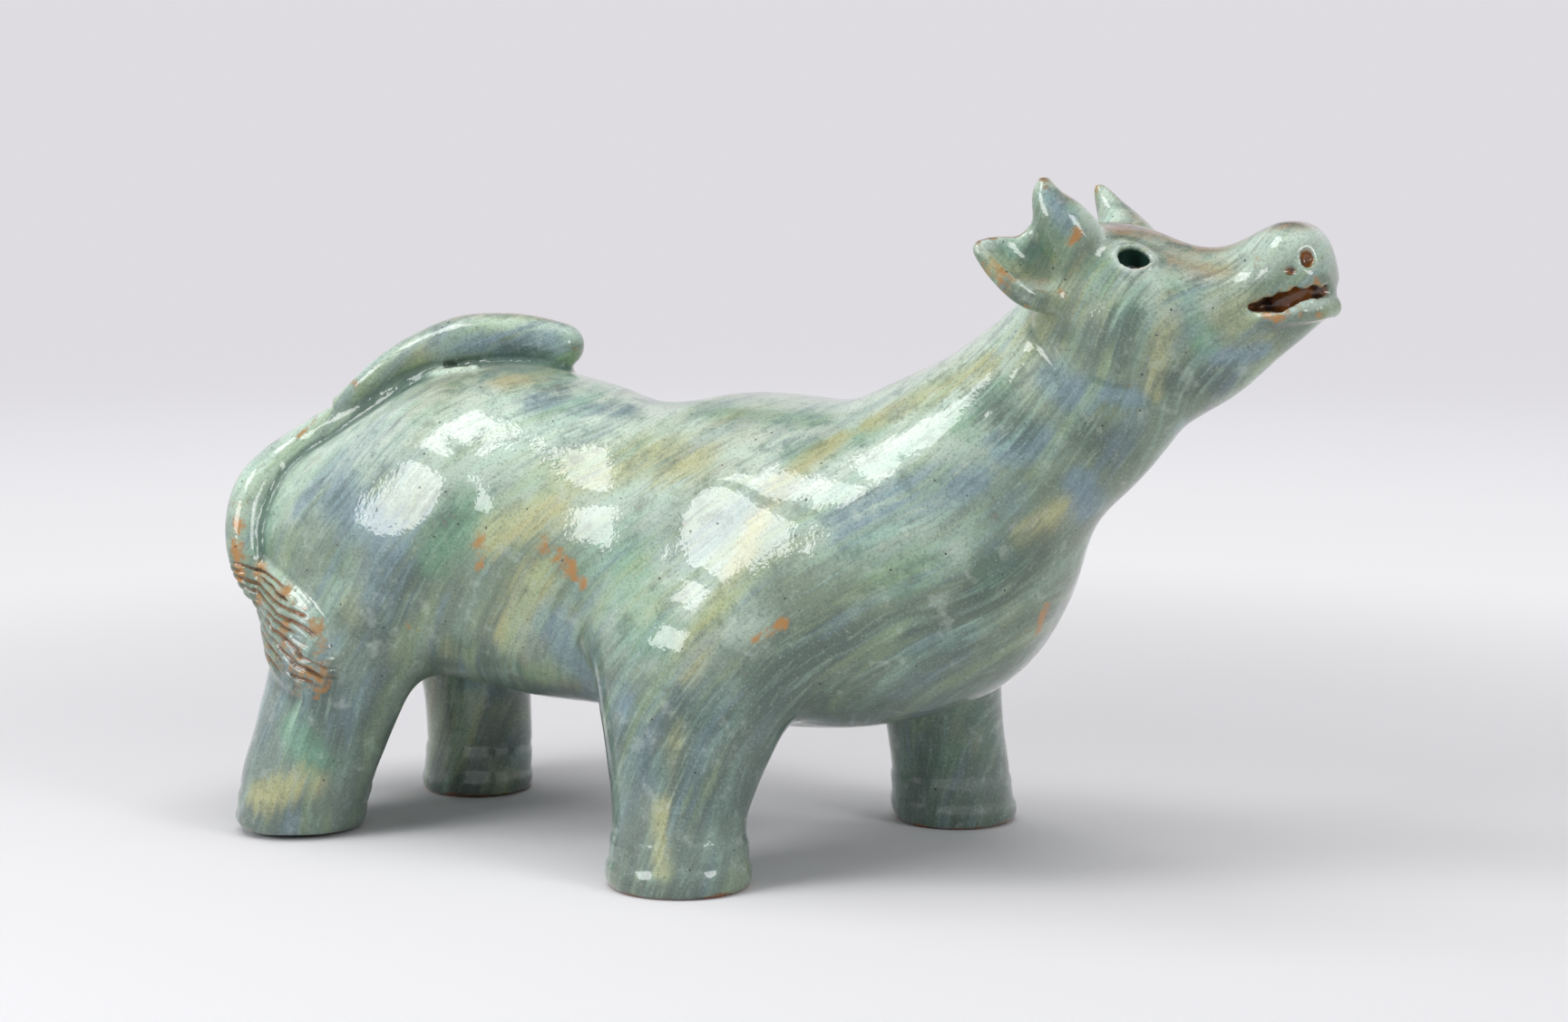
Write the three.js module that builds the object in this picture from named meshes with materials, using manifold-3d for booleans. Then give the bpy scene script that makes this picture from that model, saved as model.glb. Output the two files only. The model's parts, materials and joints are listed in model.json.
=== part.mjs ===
// A hand-built cow of glazed fired clay, standing with its muzzle raised.
// It is modelled as the potter built it: two open trunk halves, a neck tube, a pinched head with its
// jaw and lip, four leg tubes, and coils, cones and leaves of clay for the tail, horns and ears.
// Each piece is cut to the one that it sits on, as clay is when it is joined with slip.
// Millimetres. +X is the way that the cow faces, +Y is its left, +Z is up.

import * as THREE from "three";
import { mergeVertices } from "three/addons/utils/BufferGeometryUtils.js";
import Module from "manifold-3d";

const wasm = await Module();
wasm.setup();

// Joints and walls
const SLIP_GAP = 0.3; // between two pieces that are joined with slip
const TRUNK_WALL = 8;
const NECK_WALL = 8;
const HEAD_WALL = 12;
const LEG_BORE = 24; // each leg is rolled round a stick, which leaves a hole down its middle
const VENT_DIAMETER = 3; // needle holes that let the hollows breathe in the kiln

// Trunk
const TRUNK_LENGTH = 353; // rump to chest
const TRUNK_HEIGHT = 138; // the loin above the lowest of the belly
const TRUNK_WIDTH = 138; // across the chest
const BELLY_CLEARANCE = 49;
const WAIST_SHARE = 0.5; // where the two halves meet, as a share of the length

// Neck
const NECK_LENGTH = 72; // from the withers forward to the back of the head
const NECK_HEIGHT = 54; // and upward to it
const NECK_WIDTH = 65; // just behind the head

// Head
const HEAD_LENGTH = 107; // back of the skull to the nose
const HEAD_DEPTH = 72; // brow to throat
const HEAD_WIDTH = 66; // across the cheeks
const MOUTH_GAPE = 6.5; // opening at the front of the mouth
const LIP_DIAMETER = 8.5;
const EYE_LENGTH = 11;
const EYE_HEIGHT = 8;
const EYE_DEPTH = 18; // through the wall of the head
const NOSTRIL_LENGTH = 6;
const NOSTRIL_HEIGHT = 4;
const NOSTRIL_DEPTH = 5;

// Horns and ears
const HORN_HEIGHT = 22;
const HORN_BASE = 27;
const HORN_TIP = 9;
const HORN_STAGGER = 8.5; // the left horn stands further forward
const EAR_LENGTH = 35;
const EAR_WIDTH = 29;
const EAR_THICKNESS = 12;
const EAR_WALL = 3.2;

// Legs
const FRONT_TRACK = 139; // between the middles of the two front feet
const HIND_TRACK = 95;
const FRONT_FOOT_DIAMETER = 54;
const HIND_FOOT_DIAMETER = 51;
const ANKLE_HEIGHT = 26;
const FRONT_THIGH_LENGTH = 100; // along the flank
const HIND_THIGH_LENGTH = 92;
const THIGH_THICKNESS = 66; // out from the flank
const FOOT_FLARE_HEIGHT = 5;
const FOOT_UNDERCUT = 0.95; // the flared foot draws in again to its base
const HEEL_LIFT = 4; // the right hind foot stands on its toe

// Tail
const TAIL_DIAMETER = 16;
const TUFT_LENGTH = 72;
const TUFT_WIDTH = 31;
const TUFT_THICKNESS = 13;
const GROOVE_COUNT = 6;
const GROOVE_WIDTH = 2.2;
const GROOVE_DEPTH = 1.8;

const GLAZE = new THREE.Color(0x8fb3a3);
const GLAZE_DARK = new THREE.Color(0x6f9084);
const GLAZE_BARE = new THREE.Color(0x9c8350);

const UP = new THREE.Vector3(0, 0, 1);
const FORWARD = new THREE.Vector3(1, 0, 0);
const FAR = 2 * TRUNK_LENGTH; // further than any part of the cow

// Places on the trunk and the head, as shares of their sizes. The trunk's share 0 is the rump and
// the underside, the head's is the back of the skull.
const trunkX = (share) => (share - WAIST_SHARE) * TRUNK_LENGTH;
const trunkZ = (share) => BELLY_CLEARANCE + share * TRUNK_HEIGHT;
const flankY = (share) => share * TRUNK_WIDTH;
const trunkPoint = (x, y, z) => new THREE.Vector3(trunkX(x), flankY(y), trunkZ(z));
const withersX = trunkX(0.77);
const withersZ = trunkZ(0.913);
const headX = (share) => withersX + 0.944 * NECK_LENGTH + share * HEAD_LENGTH;
const headZ = (share) => withersZ + NECK_HEIGHT + share * HEAD_DEPTH;
const headPoint = (x, y, z) => new THREE.Vector3(headX(x), (y * HEAD_WIDTH) / 2, headZ(z));

// Makes a solid of a closed geometry.
function solidOf(geometry) {
  geometry.deleteAttribute("normal");
  geometry.deleteAttribute("uv");
  const merged = mergeVertices(geometry, 1e-4);
  const vertProperties = Float32Array.from(merged.attributes.position.array);
  const triVerts = Uint32Array.from(merged.index.array);
  return new wasm.Manifold(new wasm.Mesh({ numProp: 3, vertProperties, triVerts }));
}

// A ring of clay is a centre and two half axes. This one stands across the middle of the cow,
// between a point on its upper outline and a point on its lower outline.
function midRing(topX, topZ, lowX, lowZ, halfWidth) {
  const top = new THREE.Vector3(topX, 0, topZ);
  const low = new THREE.Vector3(lowX, 0, lowZ);
  return {
    centre: top.clone().add(low).multiplyScalar(0.5),
    across: new THREE.Vector3(0, halfWidth, 0),
    rise: top.sub(low).multiplyScalar(0.5),
  };
}

// Rings square to a path, of { at, width, thickness }. The thickness points towards the face.
function pathRings(stations, face) {
  return stations.map(({ at, width, thickness }, i) => {
    const ahead = stations[Math.min(i + 1, stations.length - 1)].at;
    const behind = stations[Math.max(i - 1, 0)].at;
    const along = ahead.clone().sub(behind).normalize();
    const across = new THREE.Vector3().crossVectors(face, along).normalize();
    const rise = new THREE.Vector3().crossVectors(along, across).normalize();
    return {
      centre: at.clone(),
      across: across.multiplyScalar(width / 2),
      rise: rise.multiplyScalar(thickness / 2),
    };
  });
}

// Adds smooth rings between the given ones.
function smoothRings(rings, steps) {
  const curves = ["centre", "across", "rise"].map((key) => {
    const points = rings.map((ring) => ring[key]);
    return new THREE.CatmullRomCurve3(points, false, "catmullrom", 0.5);
  });
  const count = (rings.length - 1) * steps;
  return Array.from({ length: count + 1 }, (_, i) => {
    const [centre, across, rise] = curves.map((curve) => curve.getPoint(i / count));
    return { centre, across, rise };
  });
}

// Moves every point of a closed surface along its normal.
function swell(geometry, offset) {
  geometry.computeVertexNormals();
  const { position, normal } = geometry.attributes;
  const point = new THREE.Vector3();
  const away = new THREE.Vector3();
  for (let i = 0; i < position.count; i += 1) {
    point.fromBufferAttribute(position, i);
    away.fromBufferAttribute(normal, i);
    point.addScaledVector(away, offset);
    position.setXYZ(i, ...point);
  }
}

// Skins a row of rings and closes both ends. A positive offset swells the form and a negative one
// shrinks it.
function skin(rings, { sides = 24, steps = 1, offset = 0 } = {}) {
  const row = smoothRings(rings, steps);
  const points = row.flatMap(({ centre, across, rise }) =>
    Array.from({ length: sides }, (_, i) => {
      const angle = (i / sides) * 2 * Math.PI;
      const point = centre.clone().addScaledVector(across, Math.cos(angle));
      return point.addScaledVector(rise, Math.sin(angle));
    }),
  );
  const startTip = points.length;
  const endTip = startTip + 1;
  points.push(row[0].centre, row.at(-1).centre);
  const faces = [];
  const lastRing = (row.length - 1) * sides;
  for (let i = 0; i < sides; i += 1) {
    const next = (i + 1) % sides;
    for (let ring = 0; ring < lastRing; ring += sides) {
      faces.push(ring + i, ring + next, ring + sides + i);
      faces.push(ring + next, ring + sides + next, ring + sides + i);
    }
    faces.push(startTip, next, i, endTip, lastRing + i, lastRing + next);
  }
  const handed = new THREE.Vector3().crossVectors(row[0].across, row[0].rise);
  if (handed.dot(row[1].centre.clone().sub(row[0].centre)) < 0) {
    faces.reverse();
  }
  const geometry = new THREE.BufferGeometry().setFromPoints(points);
  geometry.setIndex(faces);
  if (offset !== 0) {
    swell(geometry, offset);
  }
  return solidOf(geometry);
}

// A form, and the room that its neighbours leave for it.
function form(rings, options = {}) {
  return { body: skin(rings, options), room: skin(rings, { ...options, offset: SLIP_GAP }) };
}

// A prism whose [x, z] outline is seen from the side and which runs right across the cow.
function slab(outline) {
  const shape = new THREE.Shape(outline.map(([x, z]) => new THREE.Vector2(x, z)));
  const geometry = new THREE.ExtrudeGeometry(shape, { depth: 2 * FAR, bevelEnabled: false });
  geometry.translate(0, 0, -FAR);
  geometry.rotateX(Math.PI / 2);
  return solidOf(geometry);
}

// A straight needle hole between two points.
function needle(from, to, face) {
  const ends = [from, to].map((at) => ({ at, width: VENT_DIAMETER, thickness: VENT_DIAMETER }));
  return skin(pathRings(ends, face), { sides: 8 });
}

const cutAll = (solid, tools) => tools.reduce((rest, tool) => rest.subtract(tool), solid);

// Trunk: [along, top, low, half width] in shares of its length, height and width.
const TRUNK_STATIONS = [
  [0.0, 0.5, 0.42, 0.055],
  [0.012, 0.565, 0.335, 0.17],
  [0.04, 0.665, 0.23, 0.29],
  [0.09, 0.735, 0.15, 0.375],
  [0.153, 0.82, 0.11, 0.428],
  [0.222, 0.94, 0.085, 0.45],
  [0.295, 1.0, 0.06, 0.455],
  [0.374, 1.0, 0.035, 0.44],
  [0.46, 0.93, 0.015, 0.415],
  [0.524, 0.893, 0.0, 0.415],
  [0.6, 0.927, 0.0, 0.455],
  [0.687, 0.927, 0.0, 0.49],
  [0.77, 0.915, 0.02, 0.5],
  [0.843, 0.9, 0.06, 0.475],
  [0.905, 0.85, 0.135, 0.4],
  [0.955, 0.765, 0.255, 0.29],
  [0.986, 0.66, 0.4, 0.17],
  [1.0, 0.575, 0.5, 0.055],
];
const trunkRings = TRUNK_STATIONS.map(([along, top, low, width]) =>
  midRing(trunkX(along), trunkZ(top), trunkX(along), trunkZ(low), flankY(width)),
);
const trunk = form(trunkRings, { sides: 32, steps: 2 });
const trunkHollow = skin(trunkRings.slice(2, -2), { sides: 20, offset: -TRUNK_WALL });

// Neck: [top along, top up, low along, low up, width] from the withers, in shares of its reach,
// rise and width.
const NECK_STATIONS = [
  [-0.28, -0.07, 0.93, -1.37, 1.72],
  [0.03, 0.09, 1.12, -0.98, 1.54],
  [0.26, 0.23, 1.25, -0.7, 1.31],
  [0.47, 0.4, 1.41, -0.5, 1.14],
  [0.67, 0.6, 1.52, -0.34, 1.05],
  [0.83, 0.77, 1.61, -0.18, 1.0],
  [0.94, 1.0, 1.69, -0.02, 0.86],
];
const neckX = (share) => withersX + share * NECK_LENGTH;
const neckZ = (share) => withersZ + share * NECK_HEIGHT;
const neckRings = NECK_STATIONS.map(([topX, topZ, lowX, lowZ, width]) =>
  midRing(neckX(topX), neckZ(topZ), neckX(lowX), neckZ(lowZ), (width * NECK_WIDTH) / 2),
);
const neck = form(neckRings, { sides: 26, steps: 2 });
const neckHollow = skin(neckRings, { sides: 20, offset: -NECK_WALL });

// Head: [top along, top up, low along, low up, width] in shares of its length, depth and width.
const HEAD_STATIONS = [
  [0.005, 0.028, 0.075, -0.278, 0.36],
  [0.037, 0.139, 0.206, -0.556, 0.76],
  [0.112, 0.201, 0.355, -0.764, 0.97],
  [0.224, 0.208, 0.486, -0.792, 1.0],
  [0.346, 0.188, 0.598, -0.708, 0.89],
  [0.467, 0.125, 0.701, -0.604, 0.76],
  [0.579, 0.083, 0.785, -0.493, 0.65],
  [0.678, 0.125, 0.86, -0.403, 0.59],
  [0.766, 0.201, 0.925, -0.319, 0.58],
  [0.855, 0.222, 0.972, -0.257, 0.55],
  [0.93, 0.167, 0.995, -0.194, 0.42],
  [0.977, 0.056, 1.0, -0.083, 0.21],
];
const headRings = HEAD_STATIONS.map(([topX, topZ, lowX, lowZ, width]) =>
  midRing(headX(topX), headZ(topZ), headX(lowX), headZ(lowZ), (width * HEAD_WIDTH) / 2),
);
const head = form(headRings, { sides: 26, steps: 2 });
const headHollow = skin(headRings.slice(1, 8), { sides: 18, offset: -HEAD_WALL });

// The jaw is the clay below a line that runs from the nose to the corner of the mouth, and on down
// to the throat. The mouth is the wedge that is left open above it.
const mouthFront = [headX(1.1), headZ(-0.139)];
const JAW_JOINT = [
  [headX(0.757), headZ(-0.194)],
  [headX(0.561), headZ(-0.458)],
  [headX(0.393), headZ(-0.597)],
  [headX(0.355), headZ(-1.056)],
];
const jawFoot = [headX(1.1), headZ(-1.056)];
const jawRoom = slab([[mouthFront[0], mouthFront[1] + MOUTH_GAPE], ...JAW_JOINT, jawFoot]);
const jawJointLow = JAW_JOINT.map(([x, z]) => [x + SLIP_GAP, z - SLIP_GAP]);
const jawBlock = slab([mouthFront, ...jawJointLow, jawFoot]);

// An oval hole, from the surface inwards, that opens out to its mouth.
function ovalHole(at, outward, length, height, depth) {
  const out = outward.normalize();
  const stations = [
    { reach: -depth, share: 0.7 },
    { reach: 0, share: 1 },
    { reach: height, share: 1.4 },
  ].map(({ reach, share }) => ({
    at: at.clone().addScaledVector(out, reach),
    width: length * share,
    thickness: height * share,
  }));
  return skin(pathRings(stations, UP), { sides: 14 });
}

function facialHoles(side) {
  const gaze = new THREE.Vector3(0.15, side, 0.35);
  const eye = ovalHole(headPoint(0.402, 0.758 * side, 0.035), gaze, EYE_LENGTH, EYE_HEIGHT, EYE_DEPTH);
  const sniff = new THREE.Vector3(0.75, 0.6 * side, 0.3);
  const nostrilPlace = headPoint(0.944, 0.364 * side, 0.042);
  const nostril = ovalHole(nostrilPlace, sniff, NOSTRIL_LENGTH, NOSTRIL_HEIGHT, NOSTRIL_DEPTH);
  return [eye, nostril];
}

// Lower lip: a short roll of clay bent round the front of the jaw.
const LIP_HALF = [
  // along, half width, up, thickness
  [0.757, 0.53, -0.243, 0.45],
  [0.832, 0.51, -0.229, 1],
  [0.907, 0.42, -0.215, 1],
  [0.958, 0.24, -0.201, 1],
];
const LIP_FRONT = [0.977, 0, -0.194, 1];
const lipSides = [1, -1].map((side) => LIP_HALF.map(([x, y, z, share]) => [x, y * side, z, share]));
const lipStations = [...lipSides[0], LIP_FRONT, ...lipSides[1].reverse()].map(([x, y, z, share]) => ({
  at: headPoint(x, y, z),
  width: share * LIP_DIAMETER,
  thickness: share * LIP_DIAMETER,
}));
const lip = skin(pathRings(lipStations, UP), { sides: 12 });

// Horns: blunt cones that lean back and out.
function hornRings(side) {
  const base = headPoint(0.121, 0.667 * side, 0.097);
  base.x += side > 0 ? HORN_STAGGER : 0;
  const tip = HORN_TIP / HORN_BASE;
  const stations = [
    // back, out, up, thickness
    [0, -0.04, -0.18, 1.04],
    [0.04, 0, 0.18, 0.88],
    [0.15, 0.07, 0.5, 0.66],
    [0.22, 0.15, 0.82, 0.44],
    [0.22, 0.15, 1, tip],
    [0.22, 0.15, 1.06, tip * 0.4],
  ].map(([back, out, rise, share]) => ({
    at: base.clone().add(new THREE.Vector3(-back * HORN_BASE, out * HORN_BASE * side, rise * HORN_HEIGHT)),
    width: share * HORN_BASE,
    thickness: share * HORN_BASE,
  }));
  return pathRings(stations, FORWARD);
}

// Ears: pinched leaves, hollowed on the side that faces up and out.
function earSolid(side) {
  const root = headPoint(0.112, 0.848 * side, -0.097);
  const along = new THREE.Vector3(-0.66, 0.62 * side, 0.42).normalize();
  const opening = new THREE.Vector3(0.45, 0.6 * side, 0.65);
  const lift = opening.clone().addScaledVector(along, -opening.dot(along)).normalize();
  const leaf = [
    [-0.2, 0.55, 0.8],
    [0.05, 0.85, 0.95],
    [0.3, 1, 1],
    [0.55, 0.88, 0.9],
    [0.8, 0.55, 0.65],
    [0.96, 0.22, 0.35],
    [1.0, 0.08, 0.12],
  ].map(([reach, width, thickness]) => ({
    at: root.clone().addScaledVector(along, reach * EAR_LENGTH),
    width: width * EAR_WIDTH,
    thickness: thickness * EAR_THICKNESS,
  }));
  const bowl = leaf.slice(1, -1).map(({ at, width, thickness }) => ({
    at: at.clone().addScaledVector(lift, 1.5 * EAR_WALL),
    width: Math.max(width - 2 * EAR_WALL, 0.3 * EAR_WALL),
    thickness: thickness + EAR_WALL,
  }));
  const outside = skin(pathRings(leaf, opening), { sides: 18, steps: 2 });
  return outside.subtract(skin(pathRings(bowl, opening), { sides: 12 }));
}

// Legs: a flared foot, an ankle and a thigh that spreads over the flank. The centre line runs from
// ankle to thigh by the power lean, and the widths by the power spread.
const frontFoot = FRONT_FOOT_DIAMETER / 2;
const hindFoot = HIND_FOOT_DIAMETER / 2;
const frontThigh = FRONT_THIGH_LENGTH / 2;
const hindThigh = HIND_THIGH_LENGTH / 2;
const thighDepth = THIGH_THICKNESS / 2;
const LEGS = {
  leg_front_right: {
    foot: { x: trunkX(0.629), y: -FRONT_TRACK / 2, radius: frontFoot },
    ankle: { x: trunkX(0.629), y: -FRONT_TRACK / 2, z: ANKLE_HEIGHT, radius: 0.9 * frontFoot },
    thigh: { x: trunkX(0.64), y: 0.55 * thighDepth - flankY(0.49), z: trunkZ(0.319) },
    thighSize: { halfX: frontThigh, halfY: thighDepth },
    lean: 1,
    spread: 1.1,
  },
  leg_front_left: {
    foot: { x: trunkX(0.794), y: 0.52 * FRONT_TRACK, radius: 0.91 * frontFoot },
    ankle: { x: trunkX(0.788), y: 0.51 * FRONT_TRACK, z: ANKLE_HEIGHT, radius: 0.85 * frontFoot },
    thigh: { x: trunkX(0.772), y: flankY(0.5) - 0.7 * thighDepth, z: trunkZ(0.333) },
    thighSize: { halfX: 0.8 * frontThigh, halfY: 0.91 * thighDepth },
    lean: 2,
    spread: 2.2,
  },
  leg_hind_right: {
    foot: { x: trunkX(0.127), y: -HIND_TRACK / 2, radius: hindFoot },
    ankle: { x: trunkX(0.142), y: -0.52 * HIND_TRACK, z: 0.8 * ANKLE_HEIGHT, radius: hindFoot },
    thigh: { x: trunkX(0.221), y: 0.97 * thighDepth - flankY(0.45), z: trunkZ(0.478) },
    thighSize: { halfX: hindThigh, halfY: 0.94 * thighDepth },
    lean: 1.15,
    spread: 1.6,
  },
  leg_hind_left: {
    foot: { x: trunkX(0.209), y: HIND_TRACK / 2, radius: 0.92 * hindFoot },
    ankle: { x: trunkX(0.212), y: HIND_TRACK / 2, z: 0.92 * ANKLE_HEIGHT, radius: 0.855 * hindFoot },
    thigh: { x: trunkX(0.221), y: flankY(0.45) - 0.88 * thighDepth, z: trunkZ(0.449) },
    thighSize: { halfX: hindThigh, halfY: thighDepth },
    lean: 2,
    spread: 2.6,
  },
};

const mix = (from, to, share) => from + (to - from) * share;

function footRings({ foot, ankle }) {
  const shin = mix(foot.radius, ankle.radius, 0.7);
  return [
    [foot.x, foot.y, 0, foot.radius * FOOT_UNDERCUT],
    [foot.x, foot.y, FOOT_FLARE_HEIGHT, foot.radius],
    [mix(foot.x, ankle.x, 0.5), mix(foot.y, ankle.y, 0.5), mix(FOOT_FLARE_HEIGHT, ankle.z, 0.5), shin],
  ].map(([x, y, z, radius]) => ({ x, y, z, halfX: radius, halfY: radius }));
}

function thighRings({ ankle, thigh, thighSize, lean, spread }) {
  return [0, 0.22, 0.44, 0.66, 0.85, 1].map((t) => ({
    x: mix(ankle.x, thigh.x, t ** lean),
    y: mix(ankle.y, thigh.y, t),
    z: mix(ankle.z, thigh.z, t),
    halfX: mix(ankle.radius, thighSize.halfX, t ** spread),
    halfY: mix(ankle.radius, thighSize.halfY, t ** spread),
  }));
}

// The thigh closes inside the trunk, over its own top.
function crownRings({ thigh, thighSize: { halfX, halfY } }) {
  const inward = -Math.sign(thigh.y);
  return [
    // inward, up, size
    [0.18, 0.36, 0.88],
    [0.42, 0.64, 0.58],
    [0.55, 0.76, 0.2],
  ].map(([shift, rise, share]) => ({
    x: thigh.x,
    y: thigh.y + shift * halfY * inward,
    z: thigh.z + rise * halfX,
    halfX: halfX * share,
    halfY: halfY * share,
  }));
}

const levelRing = ({ x, y, z, halfX, halfY }) => ({
  centre: new THREE.Vector3(x, y, z),
  across: new THREE.Vector3(halfX, 0, 0),
  rise: new THREE.Vector3(0, halfY, 0),
});

function makeLeg(leg) {
  const rings = [...footRings(leg), ...thighRings(leg)];
  const mouth = { ...rings[0], z: -FOOT_FLARE_HEIGHT };
  const boreRings = [mouth, ...rings].map(({ x, y, z }) =>
    levelRing({ x, y, z, halfX: LEG_BORE / 2, halfY: LEG_BORE / 2 }),
  );
  return {
    ...form([...rings, ...crownRings(leg)].map(levelRing), { sides: 22 }),
    bore: skin(boreRings, { sides: 12 }),
  };
}

// A needle hole up through the trunk's wall, above the bore of a leg.
function legVent({ thigh }) {
  const outward = Math.sign(thigh.y);
  const low = new THREE.Vector3(thigh.x, thigh.y + 0.2 * LEG_BORE * outward, 0);
  const high = low.clone();
  high.z = mix(thigh.z, trunkZ(0.5), 0.5);
  return needle(low, high, FORWARD);
}

// Tail: one coil that climbs the rump, doubles back on itself above the loin and runs down again.
const TAIL_STATIONS = [
  // along, across and up in shares of the trunk, thickness
  [0.028, -0.065, 0.522, 0.95],
  [0.057, -0.08, 0.616, 1],
  [0.091, -0.087, 0.693, 1.05],
  [0.153, -0.087, 0.808, 1.1],
  [0.215, -0.087, 0.928, 1.1],
  [0.278, -0.08, 1.008, 1.1],
  [0.34, -0.072, 1.046, 1.13],
  [0.382, -0.051, 1.053, 1.15],
  [0.402, -0.007, 1.053, 1.12],
  [0.38, 0.04, 1.064, 1.08],
  [0.329, 0.047, 1.07, 1.03],
  [0.263, 0.036, 1.07, 0.98],
  [0.196, 0.025, 1, 0.95],
  [0.13, 0.011, 0.87, 0.92],
  [0.062, -0.007, 0.742, 0.9],
  [0.012, -0.043, 0.641, 0.86],
  [-0.008, -0.087, 0.522, 0.84],
  [0, -0.152, 0.413, 0.84],
  [0.023, -0.232, 0.333, 0.8],
];
const tailStations = TAIL_STATIONS.map(([along, across, up, share]) => ({
  at: trunkPoint(along, across, up),
  width: share * TAIL_DIAMETER,
  thickness: share * TAIL_DIAMETER,
}));
const tailRings = pathRings(tailStations, new THREE.Vector3(0.2, 0.3, 1));
const BEND = 8; // the station where it turns
const TUCKED = 0.8; // the last ring of a strand, which closes inside the other strand
const SLIM = 0.96; // the ring before it

// Draws in rings of a strand, to the shares given by their index.
function drawIn(rings, shares) {
  return rings.map(({ centre, across, rise }, i) => {
    const [narrow, low] = [across, rise].map((axis) => axis.clone().multiplyScalar(shares[i] ?? 1));
    return { centre, across: narrow, rise: low };
  });
}
const upRings = drawIn(tailRings.slice(0, BEND + 3), { [BEND + 1]: SLIM, [BEND + 2]: TUCKED });
const backRings = drawIn(tailRings.slice(BEND), { 0: TUCKED });
const wayUp = form(upRings, { sides: 12, steps: 2 });
const wayBack = form(backRings, { sides: 12, steps: 2 });
const tail = { body: wayUp.body.add(wayBack.body), room: wayUp.room.add(wayBack.room) };

// Tuft: a flattened paddle on the right haunch, combed along its length with a tool.
const tuftTop = trunkPoint(0.023, -0.246, 0.42);
const tuftEnd = trunkPoint(0.173, -0.486, 0.152);
const tuftAlong = tuftEnd.clone().sub(tuftTop).normalize();
const tuftAcross = new THREE.Vector3(-0.45, -0.88, 0).cross(tuftAlong).normalize();
const tuftFace = tuftAlong.clone().cross(tuftAcross);
const tuftPoint = (reach) => tuftTop.clone().addScaledVector(tuftAlong, reach * TUFT_LENGTH);
const TUFT_SHARES = [
  // along, width, thickness
  [0.0, 0.35, 0.5],
  [0.15, 0.62, 0.8],
  [0.4, 0.88, 1],
  [0.65, 1, 1],
  [0.85, 0.82, 0.85],
  [0.96, 0.45, 0.5],
  [1.0, 0.15, 0.2],
];
const tuftStations = TUFT_SHARES.map(([reach, width, thickness]) => ({
  at: tuftPoint(reach),
  width: width * TUFT_WIDTH,
  thickness: thickness * TUFT_THICKNESS,
}));
const tuft = form(pathRings(tuftStations, tuftFace), { sides: 18, steps: 1 });

// One groove of the comb, as deep at the paddle's edge as in its middle.
function groove(index) {
  const place = (index + 0.5) / GROOVE_COUNT - 0.5; // share of the width, from the middle
  const bulge = Math.sqrt(1 - (1.64 * place) ** 2);
  const stations = [
    [0.24 + 0.3 * Math.abs(place), 0.62, 0.72],
    [0.6, 0.82, 1],
    [0.9 - 0.06 * (index % 2), 0.7, 0.72],
  ].map(([reach, spread, height]) => ({
    at: tuftPoint(reach)
      .addScaledVector(tuftAcross, place * spread * TUFT_WIDTH)
      .addScaledVector(tuftFace, (height * bulge * TUFT_THICKNESS) / 2),
    width: GROOVE_WIDTH,
    thickness: 2 * GROOVE_DEPTH,
  }));
  return skin(pathRings(stations, tuftFace), { sides: 4 });
}
const grooves = Array.from({ length: GROOVE_COUNT }, (_, index) => groove(index));

// The pieces, each cut to its neighbours
const pieces = [];
const addPiece = (name, colour, solid) => pieces.push({ name, colour, solid });

const waistX = trunkX(WAIST_SHARE);
const halfSpace = (side) => {
  const edge = waistX + (side * SLIP_GAP) / 2;
  const outline = [[edge, -FAR], [side * FAR, -FAR], [side * FAR, FAR], [edge, FAR]];
  return slab(side > 0 ? outline : outline.reverse());
};
const neckVent = needle(trunkPoint(0.855, 0, 0.68), trunkPoint(0.94, 0, 0.862), UP);
const trunkVents = [...Object.values(LEGS).map(legVent), neckVent];
const trunkShell = cutAll(trunk.body, [trunkHollow, ...trunkVents]);
addPiece("hindquarters", GLAZE, trunkShell.intersect(halfSpace(-1)));
addPiece("forequarters", GLAZE, trunkShell.intersect(halfSpace(1)));

const legs = Object.fromEntries(Object.entries(LEGS).map(([name, leg]) => [name, makeLeg(leg)]));
const shoulders = [legs.leg_front_right.room, legs.leg_front_left.room];
addPiece("neck", GLAZE, cutAll(neck.body, [neckHollow, trunk.room, head.room, ...shoulders]));

const headVent = needle(headPoint(0.065, 0, -0.43), headPoint(0.346, 0, -0.153), UP);
const skull = head.body.subtract(headHollow);
const faceCuts = [...facialHoles(-1), ...facialHoles(1), headVent];
addPiece("head", GLAZE, cutAll(skull, [...faceCuts, jawRoom]));
addPiece("lower_jaw", GLAZE_DARK, skull.intersect(jawBlock));
addPiece("lower_lip", GLAZE, lip.subtract(head.room));

for (const [name, side] of [["right", -1], ["left", 1]]) {
  const horn = form(hornRings(side), { sides: 14, steps: 2 });
  addPiece(`horn_${name}`, GLAZE, horn.body.subtract(head.room));
  addPiece(`ear_${name}`, GLAZE, cutAll(earSolid(side), [head.room, neck.room, horn.room]));
}

// The right hind foot is cut on the slant below, so that it stands on its toe.
const { foot: slantFoot } = LEGS.leg_hind_right;
const toeX = slantFoot.x + slantFoot.radius;
const heelX = slantFoot.x - slantFoot.radius;
const slantCut = slab([
  [toeX, 0],
  [heelX, HEEL_LIFT],
  [heelX - HEEL_LIFT, HEEL_LIFT],
  [heelX - HEEL_LIFT, -HEEL_LIFT],
  [toeX, -HEEL_LIFT],
]);
for (const [name, leg] of Object.entries(legs)) {
  const slants = name === "leg_hind_right" ? [slantCut] : [];
  addPiece(name, GLAZE_DARK, cutAll(leg.body, [leg.bore, trunk.room, ...slants]));
}

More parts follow.
